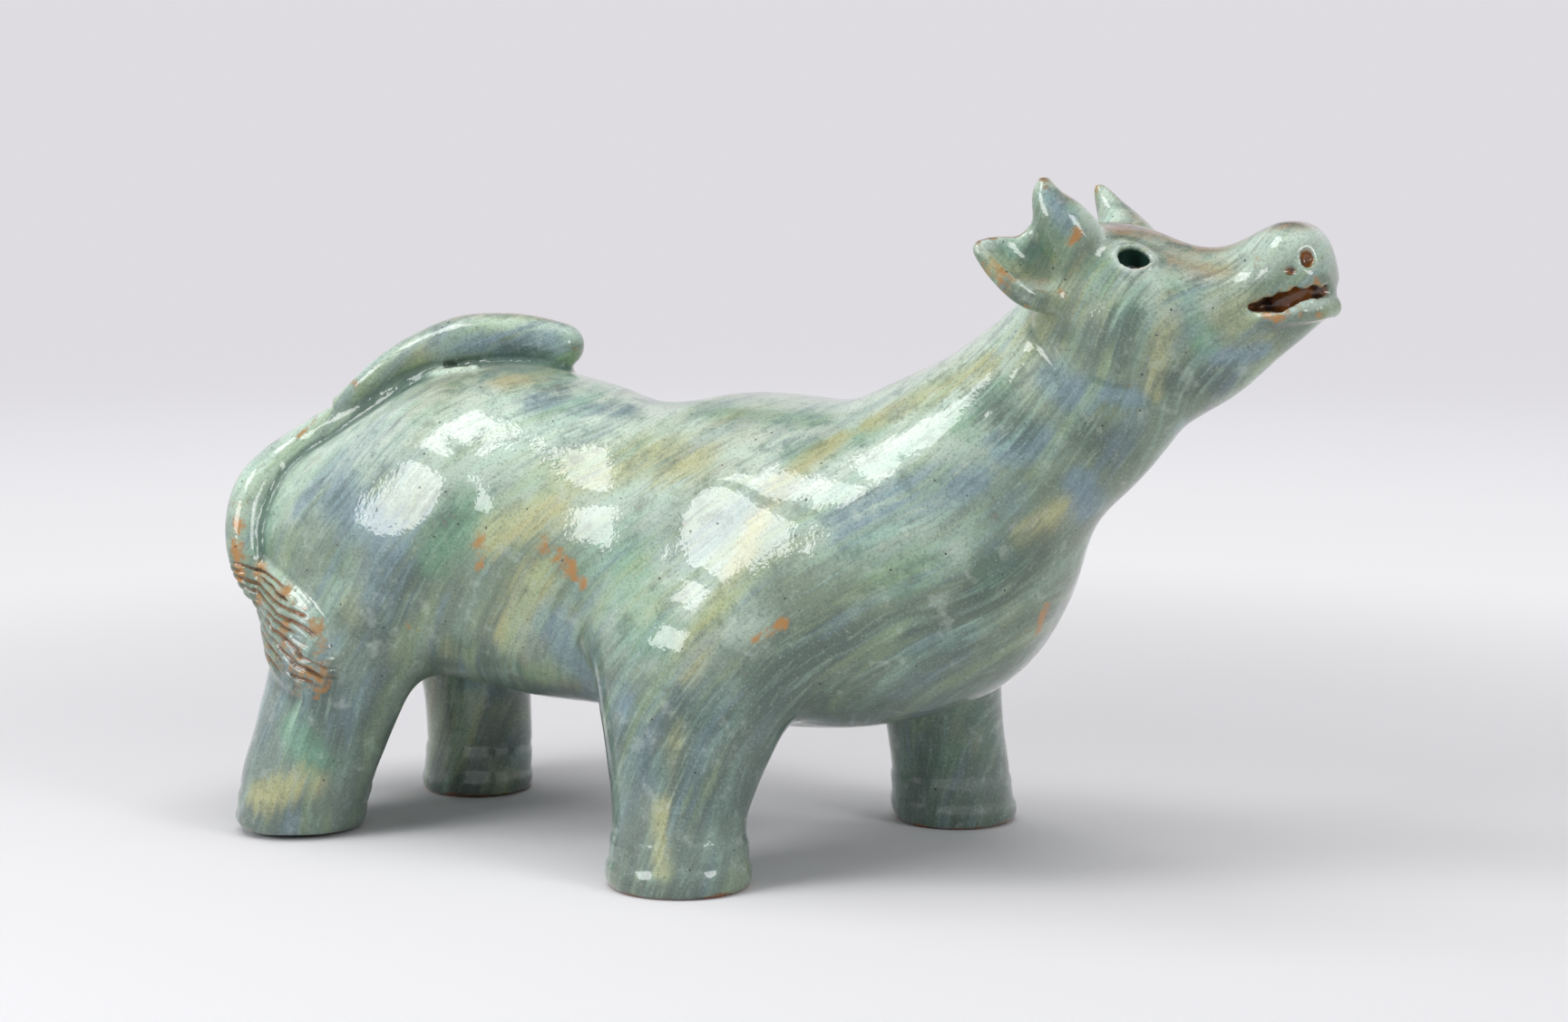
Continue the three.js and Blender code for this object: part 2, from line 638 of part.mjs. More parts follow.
const haunch = legs.leg_hind_right.room;
addPiece("tail_coil", GLAZE, cutAll(tail.body, [trunk.room, haunch]));
addPiece("tail_tuft", GLAZE_BARE, cutAll(tuft.body, [tail.room, trunk.room, haunch, ...grooves]));

// The largest body of a cut piece, without the crumbs that a cut can leave.
function mainBody(solid) {
  return solid.decompose().sort((a, b) => b.volume() - a.volume())[0];
}

// The cow stands on its origin: the middle of its length and width, at the height of the floor.
const cow = new THREE.Group();
for (const { name, colour, solid } of pieces) {
  const { vertProperties, triVerts } = mainBody(solid).getMesh();
  const geometry = new THREE.BufferGeometry();
  geometry.setAttribute("position", new THREE.BufferAttribute(vertProperties, 3));
  geometry.setIndex(new THREE.BufferAttribute(triVerts, 1));
  geometry.computeVertexNormals();
  const material = new THREE.MeshStandardMaterial({ color: colour, roughness: 0.15, metalness: 0 });
  const mesh = new THREE.Mesh(geometry, material);
  mesh.name = name;
  cow.add(mesh);
}
const box = new THREE.Box3().setFromObject(cow);
const middle = box.getCenter(new THREE.Vector3());
cow.position.set(-middle.x, -middle.y, -box.min.z);

export default cow;
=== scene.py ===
# %% [markdown]
# # A glazed cow, built by hand
#
# The object is a figure about 46 cm long. A potter joined it from tubes, slabs and coils of clay, smoothed
# the joints with wet fingers, brushed streaky green glaze over it and fired it. This lesson rebuilds its
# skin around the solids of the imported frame: the solids say where every piece of clay is, and Blender gives
# them the surface.
#
# The first cell loads the frame and keeps its box, which the finished skin has to stay inside.

# %% Load the frame
import json
import math

import bmesh
import bpy
import numpy as np
from mathutils import Matrix, Vector, noise
from mathutils.bvhtree import BVHTree
from mathutils.kdtree import KDTree


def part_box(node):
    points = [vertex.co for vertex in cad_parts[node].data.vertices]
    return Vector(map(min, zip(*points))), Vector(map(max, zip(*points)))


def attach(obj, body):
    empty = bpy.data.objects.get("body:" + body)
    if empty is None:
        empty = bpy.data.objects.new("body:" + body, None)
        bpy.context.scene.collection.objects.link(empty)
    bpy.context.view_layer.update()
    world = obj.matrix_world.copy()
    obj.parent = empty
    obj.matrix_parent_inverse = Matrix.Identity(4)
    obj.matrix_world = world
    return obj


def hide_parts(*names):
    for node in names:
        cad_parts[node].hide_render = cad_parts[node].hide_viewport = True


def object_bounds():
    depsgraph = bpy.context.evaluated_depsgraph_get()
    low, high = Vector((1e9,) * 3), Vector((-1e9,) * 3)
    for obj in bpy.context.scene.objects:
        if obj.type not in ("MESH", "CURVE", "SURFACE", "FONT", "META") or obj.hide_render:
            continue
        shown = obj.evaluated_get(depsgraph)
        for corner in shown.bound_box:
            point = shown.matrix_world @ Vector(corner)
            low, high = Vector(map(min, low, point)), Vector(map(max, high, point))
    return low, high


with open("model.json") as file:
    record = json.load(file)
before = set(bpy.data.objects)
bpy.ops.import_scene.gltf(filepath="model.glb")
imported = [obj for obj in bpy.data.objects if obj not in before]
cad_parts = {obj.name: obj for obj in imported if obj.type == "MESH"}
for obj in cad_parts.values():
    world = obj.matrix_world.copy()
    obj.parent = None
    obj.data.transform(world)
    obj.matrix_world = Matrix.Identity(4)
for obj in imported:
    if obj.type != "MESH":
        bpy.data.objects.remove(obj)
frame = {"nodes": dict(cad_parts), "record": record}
solids = frame["nodes"]
cad_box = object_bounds()
MM = 0.001
print("pieces of clay:", len(solids))

# %% [markdown]
# ## The camera
#
# The picture was taken with a long lens, a little above the cow's back and 23 degrees round from its side.
# The camera comes first because some marks on the skin are easiest to place by where they show in the
# picture. A ray from the camera through that pixel meets the clay at the real place of the mark.

# %% Camera and the ray through a pixel
PHOTO_WIDTH = 1729
PHOTO_HEIGHT = 1127

lens = bpy.data.cameras.new("camera")
lens.lens = 66.63
lens.sensor_width = 36
camera = bpy.data.objects.new("camera", lens)
camera.location = (0.44771, -1.01828, 0.26714)
camera.rotation_euler = (math.radians(83), 0, math.radians(23))
bpy.context.scene.collection.objects.link(camera)
bpy.context.scene.camera = camera


def sight_line(pixel):
    """The direction from the camera through a pixel of the photograph."""
    across = (pixel[0] - PHOTO_WIDTH / 2) / PHOTO_WIDTH * lens.sensor_width
    up = (PHOTO_HEIGHT / 2 - pixel[1]) / PHOTO_WIDTH * lens.sensor_width
    return camera.rotation_euler.to_matrix() @ Vector((across, up, -lens.lens)).normalized()


def at_plane(pixel, y):
    """Where the sight line through a pixel crosses a plane along the cow."""
    line = sight_line(pixel)
    return camera.location + line * ((y - camera.location.y) / line.y)


# %% [markdown]
# ## Meshes as arrays
#
# Smoothing and hand marks move a few hundred thousand points at once. NumPy does that in one step, so these
# helpers read the points and normals of a mesh into arrays and write them back.

# %% Helpers for meshes
def new_object(name, mesh):
    obj = bpy.data.objects.new(name, mesh)
    bpy.context.scene.collection.objects.link(obj)
    return obj


def read_points(mesh, key="co"):
    flat = np.empty(len(mesh.vertices) * 3)
    mesh.vertices.foreach_get(key, flat)
    return flat.reshape(-1, 3)


def write_points(mesh, points):
    mesh.vertices.foreach_set("co", points.ravel())
    mesh.update()


def apply_modifiers(obj):
    """Replaces the object's mesh by what its modifiers make of it."""
    seen = obj.evaluated_get(bpy.context.evaluated_depsgraph_get())
    mesh = bpy.data.meshes.new_from_object(seen)
    obj.modifiers.clear()
    obj.data = mesh
    return obj


def remesh(obj, voxel):
    """Fuses what overlaps into one closed skin of even faces, voxel millimetres wide."""
    modifier = obj.modifiers.new("fuse", "REMESH")
    modifier.mode = "VOXEL"
    modifier.voxel_size = voxel * MM
    modifier.use_smooth_shade = True
    return apply_modifiers(obj)


def skin_tree(obj):
    """A search tree of the object's faces."""
    return BVHTree.FromObject(obj, bpy.context.evaluated_depsgraph_get())


def relax(mesh, rounds, weight=1.0, restore=0.0):
    """Draws each point towards its neighbours. restore pushes back, so that a form keeps its size."""
    points = read_points(mesh)
    ends = np.empty(len(mesh.edges) * 2, int)
    mesh.edges.foreach_get("vertices", ends)
    tail, tip = ends.reshape(-1, 2).T
    count = len(points)
    degree = np.bincount(ends, minlength=count)[:, None]
    weight = np.reshape(weight, (-1, 1))

    def pull():
        sums = []
        for axis in points.T:
            sums.append(np.bincount(tail, axis[tip], count) + np.bincount(tip, axis[tail], count))
        return weight * (np.stack(sums, 1) / degree - points)

    for _ in range(rounds):
        points += 0.5 * pull()
        if restore:
            points -= restore * pull()
    write_points(mesh, points)


def ramp(values, low, high):
    """0 below low, 1 above high, smooth between."""
    share = np.clip((values - low) / (high - low), 0, 1)
    return share * share * (3 - 2 * share)


# %% [markdown]
# ## The blank
#
# The trunk, neck, head, jaw and legs are joined first. Their copies are swollen, so that the mouth, the eye
# holes and the gaps at the joints close up, and a voxel remesh fuses them into one skin. Relaxing that skin
# rolls the joints over as wet fingers do, and then it is drawn in again by what is left of the swelling.

# %% Fuse and smooth the blank
BODY_NODES = ["hindquarters", "forequarters", "neck", "head", "lower_jaw"]
ROOT_NODES = ["ear_right", "ear_left"]  # their roots spread over the head
NEAR_HORN = [
    # pixel, half thickness, and metres out from the middle of the head
    ((1151, 200), 3.4, -0.031), ((1153, 212), 5.4, -0.031), ((1160, 227), 7.6, -0.03),
    ((1169, 242), 10.2, -0.028), ((1178, 260), 12.4, -0.024),
]
FAR_HORN = [
    ((1213, 205), 2.5, 0.031), ((1219, 216), 4.0, 0.031), ((1227, 231), 5.8, 0.03),
    ((1237, 248), 8.2, 0.028), ((1248, 268), 10.5, 0.024),
]
BALL_STEP = 1.2  # millimetres between the balls of a roll
LEG_NODES = ["leg_front_right", "leg_front_left", "leg_hind_right", "leg_hind_left"]
SWELL = 4.0
BLANK_VOXEL = 2.5
BLEND_ROUNDS = 34
SMOOTHING_LOSS = 0.55  # what the relaxing takes off, on average


def clay_copy(names, grow):
    """One mesh of merged copies of solids, each grown along its normals by grow millimetres."""
    whole = bmesh.new()
    for name in names:
        copy = bmesh.new()
        copy.from_mesh(solids[name].data)
        bmesh.ops.remove_doubles(copy, verts=copy.verts, dist=1e-6)
        copy.normal_update()
        for vert in copy.verts:
            vert.co += vert.normal * grow * MM
        part = bpy.data.meshes.new(name + "_copy")
        copy.to_mesh(part)
        copy.free()
        whole.from_mesh(part)
        bpy.data.meshes.remove(part)
    mesh = bpy.data.meshes.new("clay")
    whole.to_mesh(mesh)
    whole.free()
    return mesh


def balls_along(knots):
    """Middles and half thicknesses of balls on a smooth curve through the knots, in metres."""
    knots = np.vstack([2 * knots[0] - knots[1], knots, 2 * knots[-1] - knots[-2]])
    balls = []
    for a, b, c, d in zip(knots, knots[1:], knots[2:], knots[3:]):
        for t in np.arange(0, 1, BALL_STEP * MM / np.linalg.norm(c[:3] - b[:3])):
            ball = 2 * b + (c - a) * t + (2 * a - 5 * b + 4 * c - d) * t**2
            balls.append(0.5 * (ball + (3 * b - a - 3 * c + d) * t**3))
    return balls


def horn_knots(stops):
    return np.array([[*at_plane(pixel, y), half * MM] for pixel, half, y in stops])


def roll(name, strands, grow=0.0):
    """Clay rolls as rows of overlapping balls, each grown by some millimetres."""
    clay = bmesh.new()
    for x, y, z, half in [ball for knots in strands for ball in balls_along(knots)]:
        place_ball = Matrix.Translation((x, y, z))
        bmesh.ops.create_icosphere(clay, subdivisions=3, radius=half + grow * MM, matrix=place_ball)
    mesh = bpy.data.meshes.new(name)
    clay.to_mesh(mesh)
    clay.free()
    return mesh


def joined(name, *meshes):
    whole = bmesh.new()
    for mesh in meshes:
        whole.from_mesh(mesh)
    mesh = bpy.data.meshes.new(name)
    whole.to_mesh(mesh)
    whole.free()
    return new_object(name, mesh)


def distances(mesh, names):
    """How far each point lies from some of the solids, in millimetres."""
    tree = skin_tree(new_object("near", clay_copy(names, 0)))
    return np.array([tree.find_nearest(vertex.co)[3] for vertex in mesh.vertices]) / MM


swollen = clay_copy(BODY_NODES + ROOT_NODES + LEG_NODES, SWELL)
horns = {"horn_right": [horn_knots(NEAR_HORN)], "horn_left": [horn_knots(FAR_HORN)]}
blank = joined("blank", swollen, *[roll(name, strands, SWELL - 1) for name, strands in horns.items()])
remesh(blank, BLANK_VOXEL)
height = read_points(blank.data)[:, 2] / MM
forward = read_points(blank.data)[:, 0] / MM
# the feet and the face are relaxed less, so that they keep their form
softness = 0.25 + 0.75 * ramp(height, 20, 60) * (1 - 0.6 * ramp(forward, 125, 150))
relax(blank.data, BLEND_ROUNDS, softness)
# the solid is grooved under the tail, and there the skin is smoothed once more
under_tail = distances(blank.data, ["tail_coil", "tail_tuft"])
relax(blank.data, BLEND_ROUNDS, 1 - ramp(under_tail, 8, 20))
inward = read_points(blank.data, "normal") * (SWELL - SMOOTHING_LOSS) * MM
write_points(blank.data, read_points(blank.data) - inward)
print("blank:", len(blank.data.vertices), "points")

# %% [markdown]
# ## Horns, ears, lip and tuft
#
# These small forms sit on the blank with crisp creases round them. They are added at their own size and
# fused with a finer voxel. The crease keeps a fillet of about a millimetre, which is what pooled glaze
# leaves there.
#
# The tail is a coil of clay, rolled on the table and laid over the rump. It is drawn here as a row of
# overlapping balls, which the voxel remesh turns into one smooth roll. Each stop of its path is a place in
# the picture: the ball goes where that sight line meets the clay, or where it passes nearest to it.

# %% Lay the tail over the rump
SMALL_NODES = ["ear_right", "ear_left", "lower_lip"]
SKIN_VOXEL = 1.05
TAIL_WAY_UP = [
    # pixel of the middle of the coil, and half its thickness in millimetres
    ((298, 664), 3.5), ((284, 632), 6.8), ((278, 596), 8.8), ((281, 563), 9.2), ((292, 540), 9),
    ((309, 519), 8.5), ((341, 490), 8), ((389, 457), 8), ((427, 432), 6.5), ((472, 413), 4),
    ((525, 403), 1.8),
]
TAIL_WAY_BACK = [
    ((376, 442), 3.4), ((402, 421), 5), ((427, 401), 6.3), ((468, 380), 8), ((512, 368), 10),
    ((553, 368), 10.5), ((600, 373), 10.5), ((620, 379), 10),
]
SUNK = 0.5  # how far out the middle of the coil lies where it is pressed on, as a share of its half thickness
TUFT_ENDS = ((266, 596), (346, 744))
TUFT_MIDDLE = (311, 686)
TUFT_HALF_SIZE = (17, 5.2)  # across and out of the clay, in millimetres
TUFT_FLARE = 0.2  # how much wider the tuft gets towards its end, as a share
RUMP = Vector((-0.1, 0, 0.2))  # stops whose sight line misses the clay are looked for round this place
RUMP_REACH = 80


blank_tree = skin_tree(blank)


def lay_on_clay(pixel, half_thickness):
    """The middle of a roll that lies on the clay and shows at this pixel."""
    line = sight_line(pixel)
    point, normal, _, _ = blank_tree.ray_cast(camera.location, line)
    if point:
        return point + normal * SUNK * half_thickness * MM
    beyond = (RUMP - camera.location).dot(line)
    along = [camera.location + line * (beyond + step * MM) for step in range(-RUMP_REACH, RUMP_REACH + 1)]
    return min(along, key=lambda spot: blank_tree.find_nearest(spot)[3])


def coil_knots(stops):
    knots = np.array([[*lay_on_clay(pixel, half), half * MM] for pixel, half in stops])
    knots[1:-1] = 0.25 * knots[:-2] + 0.5 * knots[1:-1] + 0.25 * knots[2:]
    return knots


rolls = {"tail_coil": [coil_knots(TAIL_WAY_UP), coil_knots(TAIL_WAY_BACK)], **horns}
print({name: sum(len(balls_along(knots)) for knots in strands) for name, strands in rolls.items()}, "balls")


def tuft_frame():
    """X along the tuft, Y across it and Z out of the clay, and half the tuft's length in millimetres."""
    top, bottom, middle = [lay_on_clay(pixel, 0) for pixel in (*TUFT_ENDS, TUFT_MIDDLE)]
    middle, out, _, _ = blank_tree.find_nearest(middle)
    along = (bottom - top).normalized()
    out = (out - out.dot(along) * along).normalized()
    axes = Matrix((along, out.cross(along), out)).transposed().to_4x4()
    return Matrix.Translation(middle) @ axes, (bottom - top).length / 2 / MM


def tuft(grow=0.0):
    """The tuft: a flat leaf of clay, wider at its end, that is pressed on and follows the haunch."""
    axes, half_length = tuft_frame()
    half_width, half_thickness = TUFT_HALF_SIZE
    clay = bmesh.new()
    bmesh.ops.create_icosphere(clay, subdivisions=5, radius=1)
    for vert in clay.verts:
        spread = max(math.hypot(vert.co.x, vert.co.y), 1e-3) ** -0.4
        along = vert.co.x * spread * (half_length + grow) * MM
        across = vert.co.y * spread * (half_width * (1 + TUFT_FLARE * vert.co.x) + grow) * MM
        foot, normal, _, _ = blank_tree.find_nearest(axes @ Vector((along, across, 0)))
        vert.co = foot + normal * vert.co.z * (half_thickness + grow) * MM
    mesh = bpy.data.meshes.new("tuft")
    clay.to_mesh(mesh)
    clay.free()
    return mesh


# %% Fuse the small forms on
small_forms = [clay_copy(SMALL_NODES, 0.4), tuft()] + [roll(name, strands) for name, strands in rolls.items()]
skin = remesh(joined("skin", blank.data, *small_forms), SKIN_VOXEL)
relax(skin.data, 6, restore=0.5)
print("skin:", len(skin.data.vertices), "points")

# %% [markdown]
# ## Marks of the hand
#
# Clay that is built by hand is never even. Slow waves a few centimetres long bend the highlights, and folds
# and ridges stay where pieces were pressed together. Each fold is a line through a few places on the near
# flank, and the far flank gets its mirror image.

# %% Places on the skin and distances from them
fused_tree = skin_tree(skin)


def place(pixel):
    """Where the clay shows at a pixel of the photograph, and its normal there."""
    point, normal, _, _ = fused_tree.ray_cast(camera.location, sight_line(pixel))
    return point, normal


def near_flank(points):
    """The points with the far flank folded over on to the near one."""
    return points * [1, 0, 1] - np.abs(points) * [0, 1, 0]


def line_distance(points, pixels):
    """How far each point lies from a line on the near flank or its mirror image, in millimetres."""
    stops = [np.array(place(pixel)[0]) for pixel in pixels]
    stops += stops[-1:] if len(stops) == 1 else []
    folded = near_flank(points)
    nearest = np.full(len(points), np.inf)
    for start, end in zip(stops[:-1], stops[1:]):
        run = end - start
        share = np.clip((folded - start) @ run / max(run @ run, 1e-12), 0, 1)
        nearest = np.minimum(nearest, np.linalg.norm(folded - start - share[:, None] * run, axis=1))
    return nearest / MM


def waves(points, length, seed, count=36):
    """A field of random waves with a spread of one, about length millimetres from crest to crest."""
    rng = np.random.default_rng(seed)
    heading = rng.normal(size=(count, 3))
    heading /= np.linalg.norm(heading, axis=1)[:, None]
    heading *= 2 * math.pi / (length * MM * rng.uniform(0.8, 1.25, (count, 1)))
    return math.sqrt(2 / count) * np.sin(points @ heading.T + rng.uniform(0, 2 * math.pi, count)).sum(1)


# %% Folds, ridges and slow waves
FOLDS = [
    # pixels that the line passes through, height (a fold is negative) and half width in millimetres
    ([(522, 552), (512, 620), (503, 680), (498, 715)], -0.7, 5),
    ([(1143, 350), (1162, 378), (1190, 417), (1207, 459)], 0.9, 2.2),
    ([(1133, 360), (1150, 390), (1178, 430), (1196, 470)], -0.8, 3),
    ([(1207, 414), (1224, 424), (1244, 425)], -0.9, 1.6),
    ([(900, 690), (940, 668), (980, 648), (1028, 624)], -0.6, 4),
    ([(1125, 511), (1098, 568), (1071, 608), (1050, 642)], 1.3, 6),
    ([(1130, 385), (1112, 420), (1098, 450)], 0.6, 4),
    ([(764, 750), (850, 722), (936, 685)], -0.5, 5),
    ([(1215, 262), (1240, 260), (1268, 270)], 0.6, 2.5),
    ([(1285, 269), (1335, 284), (1362, 282)], -2.2, 9),
    ([(1418, 251), (1442, 253)], 1.4, 8),
]
FLATS = [
    # pixel of the middle, half width in millimetres, and the degrees round and up that it faces
    ((430, 556), 34, -4, 16), ((788, 562), 24, -4, 16), ((1205, 338), 7, -4, 16),
]
FLATTENING = 0.75
FOOT_RINGS = [(3, 1.0, 6), (10.5, -0.35, 1.3), (17, 0.3, 2.5), (20.5, -0.35, 1.2)]  # up, height, half width
SLOW_WAVE = 0.38  # spread of the hand's unevenness, in millimetres
MIDDLE_WAVE = 0.09
QUICK_WAVE = 0.03

points = read_points(skin.data)
normals = read_points(skin.data, "normal")
relief = SLOW_WAVE * waves(points, 58, seed=1) + MIDDLE_WAVE * waves(points, 24, seed=4)
relief += QUICK_WAVE * waves(points, 11, seed=2)
for pixels, height_of_fold, half_width in FOLDS:
    relief += height_of_fold * np.exp(-((line_distance(points, pixels) / half_width) ** 2))
ring_height = points[:, 2] / MM + 1.2 * waves(points, 60, seed=3)
for up, height_of_ring, half_width in FOOT_RINGS:
    relief += height_of_ring * np.exp(-(((ring_height - up) / half_width) ** 2))
write_points(skin.data, points + normals * relief[:, None] * MM)
for pixel, half_width, round_turn, rise in FLATS:
    middle = np.array(place(pixel)[0])
    turn, up = math.radians(round_turn), math.radians(rise)
    facing = np.array([math.sin(turn) * math.cos(up), -math.cos(turn) * math.cos(up), math.sin(up)])
    points = read_points(skin.data)
    for side in (1, -1):
        offset = points * [1, side, 1] - middle
        height_over = offset @ facing
        share = FLATTENING * (1 - ramp(np.linalg.norm(offset, axis=1) / MM, 0.35 * half_width, half_width))
        points -= (share * height_over)[:, None] * facing * [1, side, 1]
    write_points(skin.data, points)
print("relief:", round(relief.min(), 2), "to", round(relief.max(), 2), "mm")

# %% [markdown]
# ## Eyes, nostrils and mouth
#
# A stick was pushed into the clay for the eyes, and the nostrils and the mouth were torn open. Each hole is
# cut with its own plug: an oval one with a raised rim for the eye, ragged ones for the nostrils, and a
# wedge across the muzzle for the mouth, which leaves clay standing in the middle like a tongue.

# %% Cut the holes of the face
EYE = {"pixel": (1250, 281), "half_size": (5.7, 4.7, 8), "ragged": 0.03}
NOSTRIL = {"pixel": (1443, 281), "half_size": (3.2, 3.8, 4), "ragged": 0.5}
NOSE_PIT = {"pixel": (1423, 295), "half_size": (2.8, 2.1, 2.6), "ragged": 0.35}
EYE_RIM = 1.7
MOUTH = [
    # upper edge from the corner to the front, and back along the lower edge
    (1375, 335), (1395, 325), (1412, 319), (1430, 313), (1470, 312), (1510, 310),
    (1510, 328), (1471, 325), (1436, 327), (1427, 334), (1418, 341), (1392, 339),
]
MOUTH_DEPTH_PLANE = -0.013  # metres out from the middle, where the mouth's outline is measured
MOUTH_HALF_WIDTH = 0.04  # wider than the muzzle, so that the wedge cuts right through
MOUTH_VOXEL = 0.8
TONGUE = {"at": (1425, 325), "half_size": (17, 9, 12)}


def boolean(obj, tool, operation):
    modifier = obj.modifiers.new("cut", "BOOLEAN")
    modifier.operation = operation
    modifier.solver = "MANIFOLD"
    modifier.object = tool
    return apply_modifiers(obj)


def hole_frame(pixel):
    """A frame with its origin on the skin, X forward along the head and Z out of the clay."""
    point, out = place(pixel)
    across = out.cross(Vector((1, 0, 0.1))).normalized()
    frame_axes = Matrix((across.cross(out), across, out)).transposed().to_4x4()
    return Matrix.Translation(point) @ frame_axes


def hole_plugs(hole, seed):
    """The plug that is pushed in on the near side, and its mirror image."""
    plugs = []
    for side in (1, -1):
        plug = bmesh.new()
        size = Matrix.Diagonal((*hole["half_size"], 1 / MM)) * MM
        mirror = Matrix.Diagonal((1, side, 1, 1))
        bmesh.ops.create_icosphere(plug, subdivisions=4, radius=1)
        for vert in plug.verts:
            vert.co *= 1 + hole["ragged"] * noise.noise(vert.co * 2.8 + Vector((seed, 0, 0)))
        bmesh.ops.transform(plug, matrix=mirror @ hole_frame(hole["pixel"]) @ size, verts=plug.verts)
        bmesh.ops.recalc_face_normals(plug, faces=plug.faces)
        mesh = bpy.data.meshes.new("plug")
        plug.to_mesh(mesh)
        plug.free()
        plugs.append(new_object("plug", mesh))
    return plugs


def mouth_wedge():
    wedge = bmesh.new()
    corners = [at_plane(pixel, MOUTH_DEPTH_PLANE) for pixel in MOUTH]
    face = wedge.faces.new([wedge.verts.new((corner.x, -MOUTH_HALF_WIDTH, corner.z)) for corner in corners])
    grown = bmesh.ops.extrude_face_region(wedge, geom=[face])["geom"]
    far_side = [item for item in grown if isinstance(item, bmesh.types.BMVert)]
    bmesh.ops.translate(wedge, vec=(0, 2 * MOUTH_HALF_WIDTH, 0), verts=far_side)
    bmesh.ops.triangulate(wedge, faces=wedge.faces)
    bmesh.ops.recalc_face_normals(wedge, faces=wedge.faces)
    mesh = bpy.data.meshes.new("mouth")
    wedge.to_mesh(mesh)
    wedge.free()
    wedge = remesh(new_object("mouth", mesh), MOUTH_VOXEL)
    ragged = read_points(wedge.data)
    push = 0.35 * waves(ragged, 5, seed=5) + 0.15 * waves(ragged, 2.4, seed=6)
    write_points(wedge.data, ragged + read_points(wedge.data, "normal") * push[:, None] * MM)
    return wedge


def tongue():
    core = bmesh.new()
    middle = at_plane(TONGUE["at"], 0)
    bmesh.ops.create_icosphere(core, subdivisions=4, radius=1)
    bmesh.ops.scale(core, vec=[size * MM for size in TONGUE["half_size"]], verts=core.verts)
    bmesh.ops.translate(core, vec=middle, verts=core.verts)
    mesh = bpy.data.meshes.new("tongue")
    core.to_mesh(mesh)
    core.free()
    return new_object("tongue", mesh)


points = read_points(skin.data)
eye = hole_frame(EYE["pixel"])
to_eye = np.array(eye.inverted())
local = near_flank(points) @ to_eye[:3, :3].T + to_eye[:3, 3]
oval = np.hypot(local[:, 0] / EYE["half_size"][0], local[:, 1] / EYE["half_size"][1]) / MM
rim = EYE_RIM * np.exp(-(((oval - 1.2) / 0.2) ** 2)) * (np.abs(local[:, 2]) < 6 * MM)
write_points(skin.data, points + read_points(skin.data, "normal") * rim[:, None] * MM)
whole_tree = skin_tree(skin)

wedge = boolean(mouth_wedge(), tongue(), "DIFFERENCE")
for tool in [wedge, *hole_plugs(EYE, 1), *hole_plugs(NOSTRIL, 2), *hole_plugs(NOSE_PIT, 3)]:
    boolean(skin, tool, "DIFFERENCE")
remesh(skin, SKIN_VOXEL)
relax(skin.data, 3, restore=0.5)


def fit_in_box(mesh):
    """Draws the skin in by the last tenths of a millimetre, so that it stays inside the box of the solids."""
    points = read_points(mesh)
    points[:, 2] = np.maximum(points[:, 2], 0)
    room = np.array(cad_box[1]) - 0.1 * MM
    scale = np.minimum(1, room / np.abs(points).max(0))
    print("drawn in to", scale)
    write_points(mesh, points * scale)


fit_in_box(skin.data)
print("skin with its holes:", len(skin.data.vertices), "points")

# %% [markdown]
# ## Combing the tuft
#
# The potter scratched the hair of the tuft with a comb or a stick, a little askew to its length. The skin
# is too coarse for such fine grooves, so its faces are divided there first. Each groove comes and goes
# along its length.

# %% Scratch the grooves
COMB_LINE = ((282, 622), (340, 668))  # pixels that one groove passes
COMB_SPACING = 3.6
COMB_FAN = 0.011  # how much further apart the grooves are, per millimetre down the tuft
COMB_DEPTH = 1.3


def in_tuft_frame(points):
    """Millimetres along the tuft, across it and out of the clay."""
    to_tuft = np.array(tuft_frame()[0].inverted())
    return (points @ to_tuft[:3, :3].T + to_tuft[:3, 3]) / MM


def tuft_share(local):
    """0 in the middle of the tuft and 1 at its edge. Large away from it."""
    half_length = tuft_frame()[1]
    half_width = TUFT_HALF_SIZE[0] * (1 + TUFT_FLARE * np.clip(local[:, 0] / half_length, -1, 1))
    return np.hypot(local[:, 0] / half_length, local[:, 1] / half_width) + (np.abs(local[:, 2]) > 16)


fine = bmesh.new()
fine.from_mesh(skin.data)
inside = tuft_share(in_tuft_frame(read_points(skin.data))) < 1.1
edges = [edge for edge in fine.edges if inside[edge.verts[0].index] and inside[edge.verts[1].index]]
bmesh.ops.subdivide_edges(fine, edges=edges, cuts=1, smooth=0.4, use_grid_fill=True)
fine.to_mesh(skin.data)
fine.free()
points = read_points(skin.data)
local = in_tuft_frame(points)
start, end = in_tuft_frame(np.array([place(pixel)[0] for pixel in COMB_LINE]))[:, :2]
heading = (end - start) / np.linalg.norm(end - start)
along = local[:, :2] @ heading
across = local[:, :2] @ [-heading[1], heading[0]]
wobble = 0.4 * waves(points, 24, seed=21) + 0.22 * waves(points, 7, seed=22)
lanes = (across + wobble) / COMB_SPACING / (1 + COMB_FAN * along)
drawn_out = np.stack([0.1 * along, across, np.zeros(len(points))], 1) * MM
broken = ramp(waves(drawn_out, 3.2, seed=23), -0.8, 0.2)
combed = 1 - ramp(tuft_share(local), 0.74, 0.9)
from_groove = np.abs(lanes % 1 - 0.5)
groove = np.exp(-((from_groove / 0.15) ** 2)) * broken * combed
crest = ramp(from_groove, 0.22, 0.42) * combed
carving = (0.3 * crest - groove) * COMB_DEPTH
write_points(skin.data, points + read_points(skin.data, "normal") * carving[:, None] * MM)
print("grooves:", round(float(-carving.min()), 2), "mm deep,", len(points), "points")

